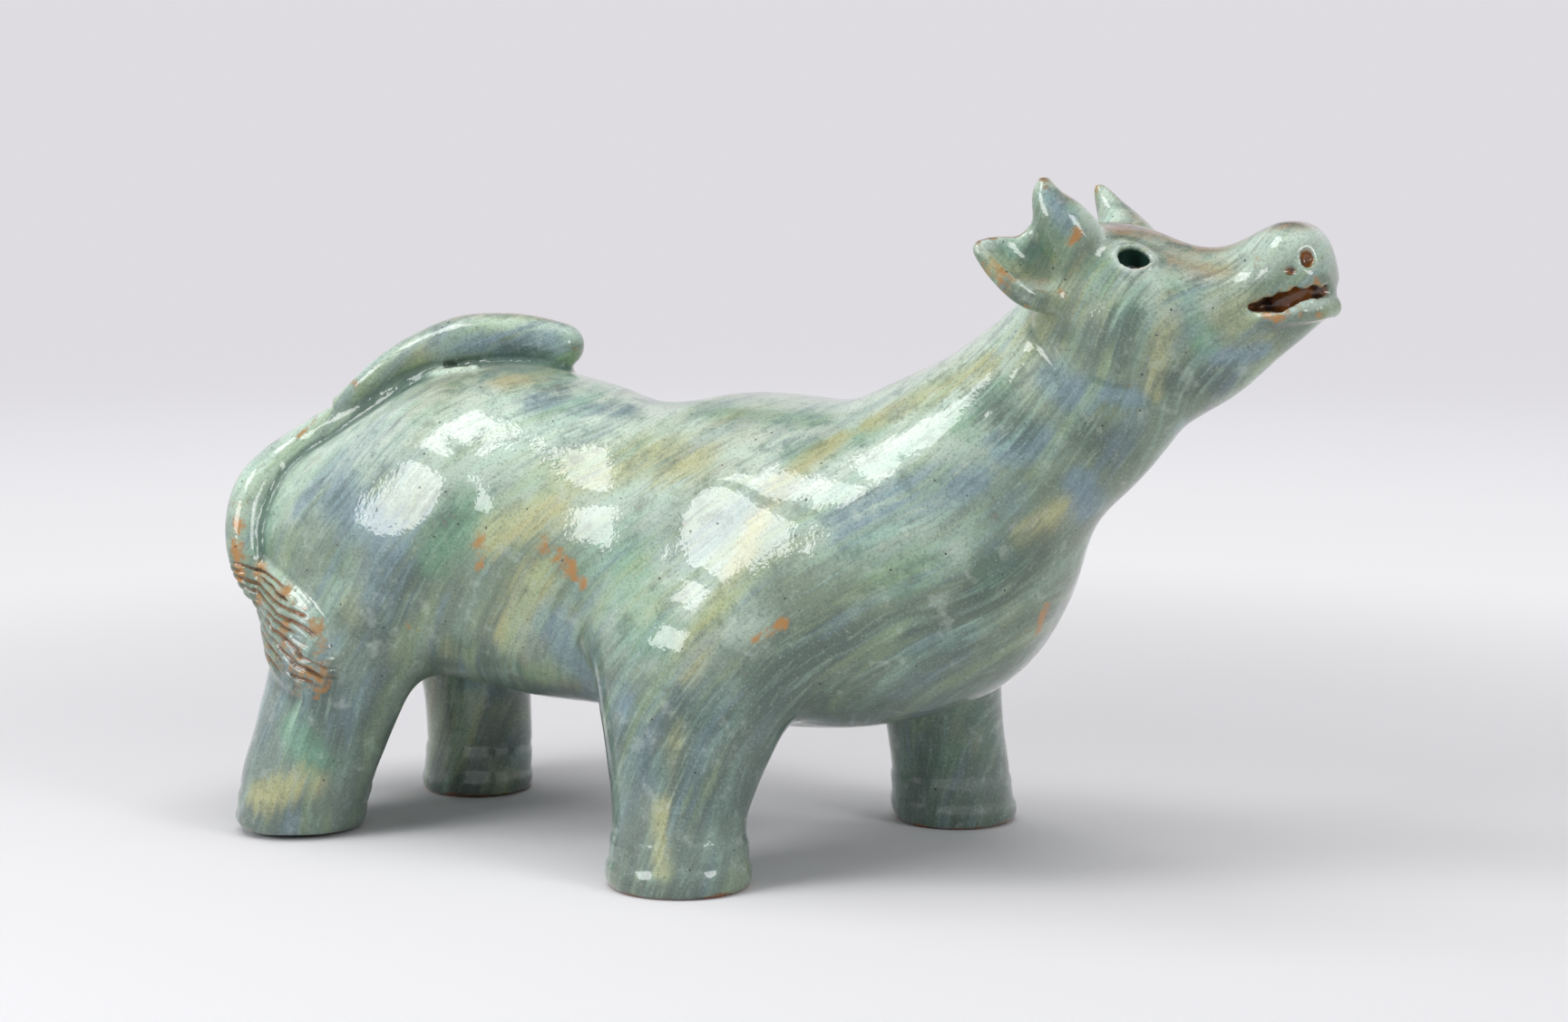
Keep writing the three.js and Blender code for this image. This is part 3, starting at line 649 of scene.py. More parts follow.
# %% [markdown]
# ## The way of the brush
#
# The glaze was brushed on, and its streaks follow the form: round the haunch, along the back, up the
# shoulder and down the legs. A few strokes of the brush are read from the picture as a place and a slope.
# Between them the slope is blended, and then one smooth height field is solved whose level lines run along
# those slopes. Noise that is stretched along the level lines makes streaks that bend as the brush did.

# %% Streak lines over the flank
BRUSHWORK = [
    # pixel that the brush passes and its slope in degrees, rising towards the head
    ((360, 500), 44), ((290, 600), 74), ((420, 560), 50), ((400, 690), 66), ((540, 450), 22),
    ((620, 430), 4), ((680, 500), 15), ((560, 560), 38), ((590, 660), 68), ((640, 735), 60),
    ((800, 458), 4), ((885, 515), 43), ((810, 620), 61), ((762, 715), 66), ((900, 620), 40),
    ((1000, 590), 24), ((1060, 700), 34), ((950, 750), 26), ((1050, 420), 33), ((1090, 530), 44),
    ((1180, 580), 68), ((1170, 450), 62), ((1240, 400), 88), ((1340, 400), 44), ((1320, 300), -8),
    ((1430, 290), 60), ((745, 900), 82), ((330, 830), 78), ((520, 820), 86), ((1045, 860), 96),
    ((560, 365), -3), ((1150, 230), 75),
]
FIELD_STEP = 4  # millimetres between the grid points of the field
FIELD_MARGIN = 60
STROKE_REACH = 12  # millimetres round a stroke where its own slope wins over the others


def brush_field():
    """Solves the field on a grid in the cow's side view. Returns its corner and its values in metres."""
    stops = np.array([[place(pixel)[0].x, place(pixel)[0].z] for pixel, _ in BRUSHWORK])
    slopes = np.radians([slope for _, slope in BRUSHWORK])
    low = np.array([cad_box[0].x, cad_box[0].z]) - FIELD_MARGIN * MM
    high = np.array([cad_box[1].x, cad_box[1].z]) + FIELD_MARGIN * MM
    x, z = [np.arange(a, b, FIELD_STEP * MM) for a, b in zip(low, high)]
    grid = np.stack(np.meshgrid(x, z, indexing="ij"), -1)
    apart = np.linalg.norm(grid[:, :, None] - stops, axis=-1)
    weight = 1 / (apart**2 + (STROKE_REACH * MM) ** 2) ** 1.5
    run = (weight * np.cos(slopes)).sum(-1)
    climb = (weight * np.sin(slopes)).sum(-1)
    length = np.hypot(run, climb)
    wanted = np.stack([-climb / length, run / length])
    average = wanted.mean((1, 2))
    kx = 2 * math.pi * np.fft.fftfreq(len(x), FIELD_STEP * MM)[:, None]
    kz = 2 * math.pi * np.fft.fftfreq(len(z), FIELD_STEP * MM)[None]
    spectrum = np.fft.fft2(wanted - average[:, None, None], axes=(1, 2))
    power = kx**2 + kz**2
    power[0, 0] = 1
    field = np.fft.ifft2(-1j * (kx * spectrum[0] + kz * spectrum[1]) / power).real
    return low, field + grid @ average


def sample_field(points):
    low, field = brush_field()
    place_on_grid = (points[:, [0, 2]] - low) / (FIELD_STEP * MM)
    corner = np.clip(place_on_grid.astype(int), 0, np.array(field.shape) - 2)
    a, b = (place_on_grid - corner).T
    i, j = corner.T
    rows = [field[i, j] * (1 - b) + field[i, j + 1] * b, field[i + 1, j] * (1 - b) + field[i + 1, j + 1] * b]
    return rows[0] * (1 - a) + rows[1] * a


points = read_points(skin.data)
normals = read_points(skin.data, "normal")
wander = 0.9 * waves(points, 90, seed=31) + 0.3 * waves(points, 35, seed=32)
skin_marks = {"brushed": sample_field(points) + wander * MM}
print("streak field from", skin_marks["brushed"].min(), "to", skin_marks["brushed"].max())

# %% [markdown]
# ## Thick and thin glaze
#
# Melted glaze runs off sharp edges and gathers in folds. Where it is thin the brown clay burns through, and
# where it is thick it turns dark and glassy. Comparing the skin with a relaxed copy of itself shows both: a
# point that stands out from the copy is on an edge, and one that lies below it is in a fold. The results
# are stored as numbers on the points, which the material reads by name. So are the strokes of colour, whose
# dark ones are partly painted shade in folds and under overhangs, a share for what faces up, which paints
# light from above on to the glaze, and a pale ring round the eye, which is partly a painted highlight.

# %% Edges, folds, bare clay and brush strokes
STROKES_AND_PAINTED_SHADE = {
    # colour of the brush: strokes of pixels that it passes through, and half width in millimetres
    "yellow": [
        ([(630, 520), (700, 500), (760, 505)], 13), ([(925, 478), (845, 552), (778, 688), (755, 742)], 6),
        ([(545, 590), (610, 560)], 10), ([(726, 960), (730, 870), (748, 800)], 4),
        ([(960, 462), (1085, 400)], 7), ([(1225, 250), (1345, 292)], 5), ([(285, 880), (340, 862)], 8),
        ([(1290, 330), (1272, 430)], 5), ([(560, 420), (600, 415)], 8), ([(590, 640), (560, 700)], 10),
        ([(1105, 290), (1150, 300)], 6), ([(1130, 590), (1180, 560)], 7), ([(1010, 840), (1000, 880)], 6),
    ],
    "blue": [
        ([(590, 442), (690, 452)], 7), ([(370, 540), (430, 600), (420, 650)], 13),
        ([(1104, 492), (1150, 490)], 8), ([(1160, 415), (1190, 440)], 8),
        ([(930, 580), (1000, 545), (1070, 530)], 10), ([(610, 690), (640, 735)], 11),
        ([(1345, 395), (1390, 388)], 5), ([(490, 378), (560, 380), (620, 378)], 8),
        ([(1190, 530), (1200, 562)], 7), ([(1210, 430), (1250, 440)], 5), ([(330, 560), (370, 500)], 7),
        ([(690, 780), (720, 860)], 7), ([(1160, 215), (1180, 245)], 5),
    ],
    # dark strokes: partly darker glaze, partly painted shade in folds and under the tail coil, ear, jaw and
    # elbow
    "dark": [
        ([(868, 712), (925, 690)], 7), ([(850, 760), (920, 715), (1040, 700)], 13),
        ([(700, 820), (790, 880)], 13), ([(725, 785), (790, 800)], 12), ([(1085, 440), (1125, 475)], 9),
        ([(395, 452), (460, 418)], 4), ([(330, 760), (380, 800)], 12), ([(480, 850), (560, 830)], 13),
        ([(1080, 660), (1140, 610)], 12), ([(420, 690), (450, 640)], 10), ([(1200, 480), (1230, 500)], 8),
        ([(1290, 420), (1350, 420)], 8), ([(1115, 325), (1150, 330)], 4), ([(560, 385), (620, 392)], 4),
        ([(1240, 350), (1230, 390)], 7), ([(1000, 840), (1080, 870)], 12),
    ],
    "mint": [
        ([(690, 620), (720, 700)], 13), ([(1215, 300), (1235, 330)], 8), ([(470, 620), (520, 560)], 10),
        ([(880, 500), (960, 470)], 9), ([(590, 745), (640, 735)], 8), ([(500, 420), (600, 405)], 8),
        ([(720, 440), (800, 450), (900, 462)], 8), ([(1060, 470), (1100, 430)], 7),
        ([(1300, 310), (1330, 380)], 6), ([(1130, 600), (1090, 640)], 8), ([(320, 800), (350, 840)], 8),
        ([(1110, 275), (1140, 285)], 6),
    ],
    "brown": [
        ([(452, 692), (470, 700)], 2.5), ([(862, 688), (835, 705)], 3), ([(1150, 672), (1142, 702)], 4),
        ([(1190, 256), (1180, 268)], 2.2), ([(262, 560), (266, 640)], 4),
        ([(1210, 416), (1225, 424), (1244, 426)], 1.5), ([(524, 590), (530, 620)], 5),
        ([(1046, 820), (1050, 832)], 2.5), ([(1378, 276), (1384, 284)], 3),
        ([(1170, 320), (1176, 326)], 2), ([(352, 462), (330, 480)], 2), ([(1446, 342), (1460, 348)], 2.5),
        ([(1092, 300), (1105, 312)], 2.5), ([(600, 600), (640, 640)], 5),
    ],
}
BARE_DEPTH = 0.8  # further than this below the whole skin, the clay is bare
EYE_REACH = 12  # millimetres round the middle of the eye that are glazed inside
SOFTENING = 60  # rounds of relaxing for the copy that the skin is compared with

softened = skin.data.copy()
relax(softened, SOFTENING)
standing = ((points - read_points(softened)) * normals).sum(1) / MM
upward = read_points(softened, "normal")[:, 2]
bpy.data.meshes.remove(softened)
depths = np.array([whole_tree.find_nearest(Vector(point))[3] for point in points]) / MM
in_hole = ramp(depths, BARE_DEPTH, 2 * BARE_DEPTH)
from_eye = np.linalg.norm(near_flank(points) - np.array(eye.translation), axis=1) / MM
near_eye = from_eye < EYE_REACH
under_foot = 1 - ramp(points[:, 2] / MM + 0.4 * waves(points, 14, seed=7), 0.5, 1.6)
skin_marks |= {
    "thin": np.maximum(ramp(standing, 0.5, 1.9), 0.8 * crest),
    "pool": np.maximum(ramp(-standing, 0.1, 0.8), groove) * (1 - in_hole),
    "combed": 1 - ramp(tuft_share(local), 0.85, 1.15),
    # a pale ring round the eye: partly the pale glaze of its rim, partly a painted highlight for its glint
    "pale": ramp(from_eye, 5.6, 6.4) * (1 - ramp(from_eye, 6.9, 8.0)) * (1 - in_hole),
    "bare": np.maximum(in_hole * ~near_eye, under_foot),
    "glassy": in_hole * near_eye,
    # what faces up is lighter: partly a milkier glaze, partly painted light from above
    "top": ramp(upward, -0.1, 0.8),
    "height": ramp(points[:, 2] / MM, 30, 130),
}
for colour, strokes in STROKES_AND_PAINTED_SHADE.items():
    field = np.zeros(len(points))
    for pixels, half_width in strokes:
        field = np.maximum(field, 1 - ramp(line_distance(points, pixels), 0.1 * half_width, 1.9 * half_width))
    skin_marks[colour] = field
print({name: round(float(field.mean()), 3) for name, field in skin_marks.items()})

# %% [markdown]
# ## The glaze
#
# The finish is a stoneware glaze: coloured oxides brushed on in layers, melted to glass at about 1250
# degrees. The eye reads it by its sharp, wet highlights and by colours that run into each other along the
# brush strokes. So each colour has its own mask: a slow cloud for where the potter loaded the brush,
# stretched noise for the hairs of the brush, and a fine grain for the specks in the melt. The small helper
# below adds one node.

# %% Node helper and colours
def hex_colour(code):
    """An sRGB hex colour as linear RGBA."""
    channels = [int(code[i : i + 2], 16) / 255 for i in (1, 3, 5)]
    return [c / 12.92 if c <= 0.04045 else ((c + 0.055) / 1.055) ** 2.4 for c in channels] + [1]


def add(tree, kind, inputs=None, out=0, **settings):
    """Adds a node, sets its settings, fills its inputs with numbers or links, and returns one output."""
    node = tree.nodes.new("ShaderNode" + kind)
    for key, value in settings.items():
        setattr(node, key, value)
    for key, value in (inputs or {}).items():
        if isinstance(value, bpy.types.NodeSocket):
            tree.links.new(value, node.inputs[key])
        else:
            node.inputs[key].default_value = value
    return node.outputs[out] if node.outputs else None


SHARE, UNDER, OVER, MIXED = 0, 6, 7, 2  # the sockets of a Mix node that is set to colours

SIDE_SAGE = "#73856F"  # the glaze as it runs down the sides
CELADON_AND_PAINTED_TOP_LIGHT = "#D2E6D6"  # lighter on what faces up: partly a milkier glaze, partly painted light from above
PALE_MINT = "#ADD4C1"
FRESH_GREEN = "#68A07E"
YELLOW = "#BDBC85"
YELLOW_GREEN = "#9DB383"
STEEL_BLUE = "#7892A0"
DEEP_GREEN = "#475A53"
SLATE = "#566668"
MILKY_SPECK = "#D5E0D8"
BURNT_CLAY = "#B07A34"
BARE_CLAY = "#8A5524"
DARK_CLAY = "#33241A"
POOLED_GLASS = "#3A5A4E"
PINHOLE_DARK = "#1E2623"
EYE_GLASS = "#1D3A31"
# the pale rim of the eye, partly a painted highlight
EYE_RIM_WITH_PAINTED_GLINT = "#DCE8DF"

# %% Patterns of the brush and of the melt
STREAKS = {
    # millimetres along the brush and across it, and seed
    "broad": (70, 9, 0.0), "middle": (40, 3.6, 40.0), "hairs": (20, 1.5, 80.0),
    "blue_run": (55, 6.0, 120.0), "yellow_run": (60, 7.0, 160.0),
}
CLOUDS = {
    # millimetres across, seed, detail and roughness
    "grain": (1.0, 0.0, 3.0, 0.7), "mottle": (7, 3.0, 4.0, 0.6), "dimples": (1.7, 7.0, 1.0, 0.5),
    "mint": (48, 11.0, 2.0, 0.5), "yellow": (52, 21.0, 2.0, 0.5), "blue": (44, 31.0, 2.0, 0.5),
    "dark": (40, 41.0, 2.0, 0.5),
}


def glaze_noises(tree, spot, brushed):
    """The noises of the glaze. A streak changes slowly along the brush and quickly across it."""
    noises = {}
    for name, (along, across, seed) in STREAKS.items():
        slow = add(tree, "VectorMath", {0: spot, "Scale": 1 / (along * MM)}, operation="SCALE")
        quick = add(tree, "Math", {0: brushed, 1: 1 / (across * MM), 2: seed}, operation="MULTIPLY_ADD")
        settings = {"Vector": slow, "W": quick, "Scale": 1.0, "Detail": 2.5, "Roughness": 0.55}
        noises[name] = add(tree, "TexNoise", settings, noise_dimensions="4D")
    for name, (length, seed, detail, roughness) in CLOUDS.items():
        settings = {"Vector": spot, "W": seed, "Scale": 1 / (length * MM)}
        settings |= {"Detail": detail, "Roughness": roughness}
        noises[name] = add(tree, "TexNoise", settings, noise_dimensions="4D")
    return noises


# %% Coats of colour
BRUSHED_AND_SHADE_COATS = [
    # stroke and its cloud, streaks that break it up, where the cloud starts, strength and colour
    # the dark coat is partly painted shade, where its strokes lie in folds and under overhangs
    ("mint", "broad", 0.5, 0.6, FRESH_GREEN), ("yellow", "middle", 0.52, 0.8, YELLOW),
    ("blue", "middle", 0.5, 0.8, STEEL_BLUE), ("dark", "hairs", 0.52, 0.75, DEEP_GREEN),
]
STRAYED = 0.55  # how strong a colour is where it strayed, beside 1 where it was brushed on purpose
STREAK_BITE = 2.6  # how deep the hairs of the brush bite into a coat
MOTTLE_BITE = 1.2
NOISE_COATS = [
    # noise, where its colour starts and where it is full, strength and colour
    ("blue_run", 0.52, 0.68, 0.4, STEEL_BLUE), ("yellow_run", 0.52, 0.68, 0.4, YELLOW_GREEN),
    ("hairs", 0.5, 0.72, 0.28, DEEP_GREEN), ("hairs", 0.48, 0.28, 0.2, PALE_MINT),
    ("grain", 0.5, 0.68, 0.5, DEEP_GREEN), ("mottle", 0.5, 0.7, 0.35, DEEP_GREEN),
    ("mottle", 0.46, 0.3, 0.2, MILKY_SPECK), ("grain", 0.46, 0.3, 0.22, MILKY_SPECK),
]
BURN_MOTTLE = 4.0  # how patchy the burnt edges are
PINHOLE_SPACING = 8.0
PINHOLE_EDGE = (0.07, 0.045)  # in cells of the pinhole pattern, from the glaze round a pinhole to its inside
SMOOTH = {"interpolation_type": "SMOOTHSTEP"}


def ground_coats(tree, marks):
    """The glaze under the strokes: lighter on top, partly milkier glaze and partly painted light from above,
    and slate towards the feet.
    """
    feet = {"Value": marks["height"], "From Min": 1.0, "From Max": 0.0, "To Max": 0.6}
    return [(marks["top"], CELADON_AND_PAINTED_TOP_LIGHT), (add(tree, "MapRange", feet, **SMOOTH), SLATE)]


def brushed_and_shade_coats(tree, marks, noises):
    """Strokes of colour, brushed on purpose or strayed, and broken up by the hairs of the brush. The dark
    ones are partly painted shade.
    """
    coats = []
    middle = 0.5 * (STREAK_BITE + MOTTLE_BITE)
    for stroke, streak, start, strength, code in BRUSHED_AND_SHADE_COATS:
        limits = {"Value": noises[stroke], "From Min": start, "From Max": start + 0.16, "To Max": STRAYED}
        strayed = add(tree, "MapRange", limits, **SMOOTH)
        brushed = add(tree, "Math", {0: marks[stroke], 1: strayed}, operation="MAXIMUM")
        ragged = brushed
        for noise_name, bite in ((streak, STREAK_BITE), ("mottle", MOTTLE_BITE)):
            ragged = add(tree, "Math", {0: noises[noise_name], 1: bite, 2: ragged}, operation="MULTIPLY_ADD")
        limits = {"Value": ragged, "From Min": middle + 0.05, "From Max": middle + 0.95, "To Max": strength}
        shown = add(tree, "MapRange", limits, **SMOOTH)
        coats.append((add(tree, "Math", {0: shown, 1: brushed}, operation="MULTIPLY"), code))
    return coats


def melted_coats(tree, marks, noises):
    """Milky runs where two noises meet, stronger on what faces up as painted light from above, then runs,
    hairs and specks of colour.
    """
    # the pale runs are stronger on what faces up, which is painted light from above
    milky_runs_and_top_light = add(tree, "Math", {0: marks["top"], 1: 0.4, 2: 0.3}, operation="MULTIPLY_ADD")
    for name, start, full in (("broad", 0.46, 0.66), ("middle", 0.36, 0.62)):
        limits = {"Value": noises[name], "From Min": start, "From Max": full}
        shown = add(tree, "MapRange", limits, **SMOOTH)
        milky_runs_and_top_light = add(tree, "Math", {0: milky_runs_and_top_light, 1: shown}, operation="MULTIPLY")
    coats = [(milky_runs_and_top_light, PALE_MINT)]
    for name, start, full, strength, code in NOISE_COATS:
        limits = {"Value": noises[name], "From Min": start, "From Max": full, "To Max": strength}
        coats.append((add(tree, "MapRange", limits, **SMOOTH), code))
    return coats


def clay_coats(tree, marks, noises, pinhole, thinness):
    """Burnt edges, pools in the folds, pinholes, bare clay, the glass of the eye and a pale ring round it,
    partly painted highlight.
    """
    worn = add(tree, "Math", {0: marks["combed"], 1: thinness}, operation="MULTIPLY")
    for name in ("thin", "brown"):
        worn = add(tree, "Math", {0: worn, 1: marks[name]}, operation="MAXIMUM")
    patchy = add(tree, "Math", {0: noises["mottle"], 1: BURN_MOTTLE, 2: worn}, operation="MULTIPLY_ADD")
    patchy = add(tree, "Math", {0: patchy, 1: noises["middle"]}, operation="ADD")
    middle = 0.5 * (BURN_MOTTLE + 1)
    limits = {"Value": patchy, "From Min": middle + 0.65, "From Max": middle + 1.35}
    shown = add(tree, "MapRange", limits, **SMOOTH)
    depth = add(tree, "Math", {0: worn, 1: 0.5, 2: 0.4}, operation="MULTIPLY_ADD")
    burnt = add(tree, "Math", {0: shown, 1: depth}, operation="MULTIPLY")
    in_comb = add(tree, "Math", {0: marks["pool"], 1: marks["combed"]}, operation="MULTIPLY")
    limits = {"Value": noises["mottle"], "From Min": 0.45, "From Max": 0.62}
    tones = {UNDER: hex_colour(BARE_CLAY), OVER: hex_colour(DARK_CLAY)}
    tones[SHARE] = add(tree, "MapRange", limits, **SMOOTH)
    clay = add(tree, "Mix", tones, out=MIXED, data_type="RGBA")
    coats = [(burnt, BURNT_CLAY)]
    for mask, strength, code in (
        (marks["pool"], 0.7, POOLED_GLASS), (in_comb, 0.8, DARK_CLAY), (pinhole, 0.85, PINHOLE_DARK),
    ):
        coats.append((add(tree, "Math", {0: mask, 1: strength}, operation="MULTIPLY"), code))
    # the pale ring round the eye is partly a painted highlight
    ring = add(tree, "Math", {0: marks["pale"], 1: 0.6}, operation="MULTIPLY")
    return coats + [(marks["bare"], clay), (marks["glassy"], EYE_GLASS), (ring, EYE_RIM_WITH_PAINTED_GLINT)]


# %% The glaze material
def make_glaze(name, thinness):
    """Fired stoneware glaze. thinness says how readily clay shows through where it is combed."""
    material = bpy.data.materials.new(name)
    material.use_nodes = True
    tree = material.node_tree
    tree.nodes.clear()
    spot = add(tree, "TexCoord", out="Object")
    marks = {key: add(tree, "Attribute", out="Fac", attribute_name=key) for key in skin_marks}
    noises = glaze_noises(tree, spot, marks["brushed"])
    cells = {"Vector": spot, "Scale": 1 / (PINHOLE_SPACING * MM)}
    limits = {"From Min": PINHOLE_EDGE[0], "From Max": PINHOLE_EDGE[1]}
    limits["Value"] = add(tree, "TexVoronoi", cells, out="Distance", feature="F1")
    pinhole = add(tree, "MapRange", limits, **SMOOTH)

    coats = ground_coats(tree, marks) + brushed_and_shade_coats(tree, marks, noises)
    coats += melted_coats(tree, marks, noises) + clay_coats(tree, marks, noises, pinhole, thinness)
    colour = hex_colour(SIDE_SAGE)
    for share, over in coats:
        over = hex_colour(over) if isinstance(over, str) else over
        colour = add(tree, "Mix", {SHARE: share, UNDER: colour, OVER: over}, out=MIXED, data_type="RGBA")

    # low ridges of the brush, and over them the fine dimples of the melt, which break up the highlights
    ridges = add(tree, "Bump", {"Strength": 0.12, "Distance": 0.4 * MM, "Height": noises["middle"]})
    dimples = add(tree, "Math", {0: noises["dimples"], 1: 0.7}, operation="MULTIPLY")
    pits = add(tree, "Math", {0: dimples, 1: pinhole}, operation="SUBTRACT")
    melt = add(tree, "Bump", {"Strength": 0.55, "Distance": 0.2 * MM, "Height": pits, "Normal": ridges})
    # a clear coat is the glass on top, so it gives the sharp wet glints and the colour below stays soft
    shader = add(tree, "BsdfPrincipled", {
        "Base Color": colour, "Roughness": 0.35, "Specular IOR Level": 0.25, "Normal": melt,
        "Coat Weight": 1.0, "Coat Roughness": 0.04, "Coat IOR": 1.5, "Coat Normal": melt,
    })
    add(tree, "OutputMaterial", {"Surface": shader})
    return material


# brushed and melted glaze, wet and streaky to the eye, with brown clay on its edges
celadon_glaze = make_glaze("celadon_stoneware_glaze", 0.3)
# the same glaze on the pieces low down, which turns slate and darker towards the feet
thick_glaze = make_glaze("dark_celadon_stoneware_glaze", 0.0)
# glaze scraped thin over a comb's ridges: the eye sees brown ridges between dark grooves
worn_glaze = make_glaze("celadon_glaze_over_combed_clay", 0.8)
print("materials:", [m.name for m in bpy.data.materials])

# %% [markdown]
# ## Cutting the skin into its pieces
#
# The skin is one mesh so far, but the figure is many pieces of clay. First it is halved at the waist, and
# then each piece is cut out of its half with a block that is a little larger than the solid it stands for.
# The cuts are closed and lie in the folds, and every piece keeps the shading of the whole skin, so no seam
# shows. A few scraps of clay round the roots of the ears and horns lie outside every block, and stay with
# the front half.

# %% Blocks to cut with
BLOCK_MARGIN = 2.0
ROLL_MARGIN = 1.3
BLOCK_VOXEL = 1.5


def hull_block(name):
    """The convex hull of a solid, grown by BLOCK_MARGIN."""
    hull = bmesh.new()
    for vertex in solids[name].data.vertices:
        hull.verts.new(vertex.co)
    bmesh.ops.remove_doubles(hull, verts=hull.verts, dist=1e-6)
    made = bmesh.ops.convex_hull(hull, input=hull.verts)
    inner = [item for item in made["geom_interior"] if isinstance(item, bmesh.types.BMVert)]
    bmesh.ops.delete(hull, geom=inner, context="VERTS")
    hull.normal_update()
    for vert in hull.verts:
        vert.co += vert.normal * BLOCK_MARGIN * MM
    mesh = bpy.data.meshes.new(name + "_block")
    hull.to_mesh(mesh)
    hull.free()
    return new_object(name + "_block", mesh)


def form_block(name):
    """A grown copy of a roll or of the tuft."""
    mesh = tuft(ROLL_MARGIN) if name == "tail_tuft" else roll(name, rolls[name], ROLL_MARGIN)
    return remesh(new_object(name + "_block", mesh), BLOCK_VOXEL)


def waist_block():
    """A box round the rear half of the cow, up to where the halves of the trunk meet."""
    block = bmesh.new()
    bmesh.ops.create_cube(block, size=1)
    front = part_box("hindquarters")[1].x
    bmesh.ops.translate(block, vec=(front - 0.5, 0, 0), verts=block.verts)
    mesh = bpy.data.meshes.new("waist_block")
    block.to_mesh(mesh)
    block.free()
    return new_object("waist_block", mesh)


# %% Cut out the pieces
def cut_out(clay, block):
    """Splits the clay at the block. The clay keeps what is outside, and what is inside is returned."""
    inside = boolean(new_object("cut", clay.data.copy()), block, "INTERSECT")
    boolean(clay, block, "DIFFERENCE")
    bpy.data.objects.remove(block)
    return inside


source = skin.data.attributes.new("source", "INT", "POINT")
source.data.foreach_set("value", np.arange(len(points), dtype=np.int32))
front_half = new_object("front_half", skin.data.copy())
rear_half = cut_out(front_half, waist_block())
pieces = {}
for half, rest_name, names in [
    (rear_half, "hindquarters", ["tail_tuft", "tail_coil", "leg_hind_right", "leg_hind_left"]),
    (front_half, "forequarters", [
        "ear_right", "ear_left", "horn_right", "horn_left", "lower_lip", "lower_jaw", "head",
        "leg_front_right", "leg_front_left", "neck",
    ]),
]:
    for name in names:
        block = form_block(name) if name in rolls or name == "tail_tuft" else hull_block(name)
        pieces[name] = cut_out(half, block)
    pieces[rest_name] = half

# %% Give each piece its shading, marks and material
SLOT_MATERIALS = {"glaze": celadon_glaze, "glaze_dark": thick_glaze, "glaze_thin": worn_glaze}
slots = {part["node"]: part["material_slot"] for part in frame["record"]["subparts"]}
lookup = KDTree(len(points))
for index, point in enumerate(points):
    lookup.insert(point, index)
lookup.balance()


def origins(mesh):
    """For each point, which point of the skin it was, or which one is nearest to a point made by a cut."""
    index = np.empty(len(mesh.vertices), np.int32)
    mesh.attributes["source"].data.foreach_get("value", index)
    made_by_cut = np.flatnonzero(np.linalg.norm(read_points(mesh) - points[index], axis=1) > 1e-6)
    for number in made_by_cut:
        index[number] = lookup.find(mesh.vertices[number].co)[1]
    return index


for name, piece in pieces.items():
    nearest = origins(piece.data)
    piece.data.attributes.remove(piece.data.attributes["source"])
    piece.data.normals_split_custom_set_from_vertices(normals[nearest])
    for key, field in skin_marks.items():
        layer = piece.data.attributes.new(key, "FLOAT", "POINT")
        layer.data.foreach_set("value", field[nearest].astype(np.float32))
    piece.name = name + "_clay"
    piece.data.materials.clear()
    piece.data.materials.append(SLOT_MATERIALS[slots[name]])
    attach(piece, "root")
    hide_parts(name)
    print(name, len(piece.data.polygons), "faces")
made = set(pieces.values()) | set(solids.values()) | {camera}
for scrap in [obj for obj in bpy.context.scene.objects if obj.type == "MESH" and obj not in made]:
    print("removed", scrap.name)
    bpy.data.objects.remove(scrap)

# %% [markdown]
# ## Studio
#
# The cow stands in a shallow bowl of white paper, whose edge curves up all round, so no horizon shows. A
# softbox on each side makes the pairs of highlights on the feet, and one up on the left lights the back and
# the haunch. A wide sheet of cloth overhead brightens what faces up without a glint of its own, and a dim
# white world fills the shadows.

# %% Paper bowl
FLOOR_RADIUS = 2.4
BEND_RADIUS = 1.2
WALL_HEIGHT = 3.0
BEND_STEPS = 12
GROUND_REACH = (0.5, 2.7)  # metres from the cow, where the paper starts to turn greyer and where it has
SHADOW_REACH = (0.3, 0.85)  # metres from the cow, where the real shadow starts to give way and where it has


def paper_bowl():
    """A round floor that curves up into a wall, spun from its profile."""
    profile = [(0.001, 0.0), (0.5, 0.0), (1.2, 0.0), (FLOOR_RADIUS, 0.0)]
    for number in range(1, BEND_STEPS + 1):
        angle = number / BEND_STEPS * math.pi / 2
        profile.append((FLOOR_RADIUS + BEND_RADIUS * math.sin(angle), BEND_RADIUS * (1 - math.cos(angle))))
    profile.append((FLOOR_RADIUS + BEND_RADIUS, WALL_HEIGHT))
    sheet = bmesh.new()
    line = [sheet.verts.new((radius, 0, height)) for radius, height in profile]
    edges = [sheet.edges.new(pair) for pair in zip(line[:-1], line[1:])]
    turn = {"cent": (0, 0, 0), "axis": (0, 0, 1), "angle": 2 * math.pi, "steps": 96}
    bmesh.ops.spin(sheet, geom=line + edges, use_merge=True, **turn)
    bmesh.ops.remove_doubles(sheet, verts=sheet.verts, dist=1e-5)
    bmesh.ops.recalc_face_normals(sheet, faces=sheet.faces)
    for face in sheet.faces:
        face.smooth = True
    mesh = bpy.data.meshes.new("paper_bowl")
    sheet.to_mesh(mesh)
    sheet.free()
    return new_object("paper_bowl", mesh)


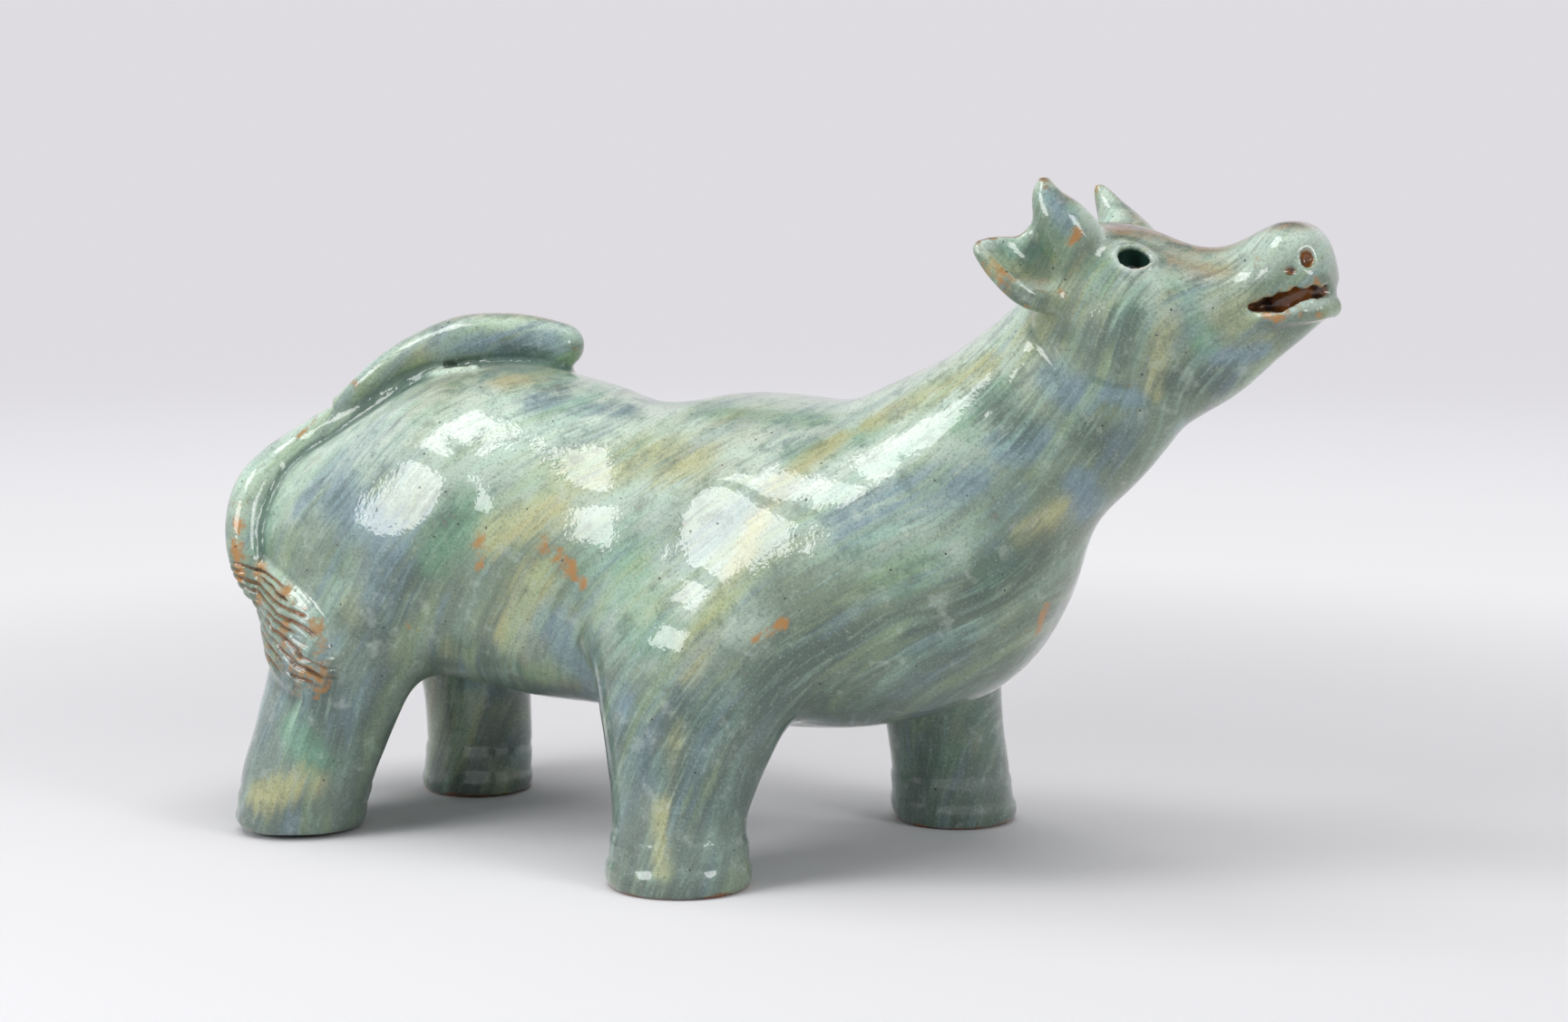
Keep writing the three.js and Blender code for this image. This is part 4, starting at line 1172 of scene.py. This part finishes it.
def paper_material():
    """Matt white paper. Near the cow it keeps the shadow, and further off it shows as an even pale ground."""
    material = bpy.data.materials.new("white_background_paper")
    material.use_nodes = True
    tree = material.node_tree
    tree.nodes.clear()
    spot = add(tree, "TexCoord", out="Object")
    reach = add(tree, "VectorMath", {0: spot}, out="Value", operation="LENGTH")
    eased = {}
    for name, (start, full) in (("ground", GROUND_REACH), ("shadow", SHADOW_REACH)):
        limits = {"Value": reach, "From Min": start, "From Max": full}
        eased[name] = add(tree, "MapRange", limits, **SMOOTH)
    tones = {SHARE: eased["ground"], UNDER: hex_colour("#F1F1F4"), OVER: hex_colour("#DEDCE1")}
    ground = add(tree, "Mix", tones, out=MIXED, data_type="RGBA")
    seen = add(tree, "LightPath", out="Is Camera Ray")
    for ray in ("Is Glossy Ray", "Is Transmission Ray"):
        seen = add(tree, "Math", {0: seen, 1: add(tree, "LightPath", out=ray)}, operation="MAXIMUM")
    share = add(tree, "Math", {0: seen, 1: eased["shadow"]}, operation="MULTIPLY")
    paper = add(tree, "BsdfDiffuse", {"Color": hex_colour("#EFEEF1")})
    glow = add(tree, "Emission", {"Color": ground, "Strength": 1.0})
    both = add(tree, "MixShader", {0: share, 1: paper, 2: glow})
    add(tree, "OutputMaterial", {"Surface": both})
    return material


bowl = paper_bowl()
bowl.data.materials.append(paper_material())

# %% Softboxes and world
TARGET = Vector((0, 0, 0.13))
WORLD_LIGHT = 0.25
SOFTBOXES = [
    # name, degrees round from the camera, degrees up, metres off, metres along a side, brightness
    ("softbox_left", -56, 22, 1.6, 0.62, 7.5),
    ("softbox_right", 48, 22, 1.6, 0.5, 7.5),
    ("softbox_above", -62, 58, 1.6, 0.58, 6.6),
    ("softbox_overhead", 0, 89, 1.6, 1.0, 2.9),
]
for name, around, up, distance, side, brightness in SOFTBOXES:
    lamp = bpy.data.lights.new(name, "AREA")
    lamp.shape = "SQUARE"
    lamp.size = side
    lamp.energy = brightness * math.pi * side**2  # watts
    holder = bpy.data.objects.new(name, lamp)
    turn = camera.rotation_euler.z + math.radians(around)
    rise = math.radians(up)
    away = Vector((math.sin(turn) * math.cos(rise), -math.cos(turn) * math.cos(rise), math.sin(rise)))
    holder.location = TARGET + away * distance
    holder.rotation_euler = away.to_track_quat("Z", "Y").to_euler()
    holder.visible_glossy = name != "softbox_overhead"
    bpy.context.scene.collection.objects.link(holder)

world = bpy.data.worlds.new("studio")
world.use_nodes = True
world.node_tree.nodes["Background"].inputs[0].default_value = hex_colour("#FFFFFF")
world.node_tree.nodes["Background"].inputs[1].default_value = WORLD_LIGHT
bpy.context.scene.world = world
bpy.context.scene.view_settings.view_transform = "Standard"
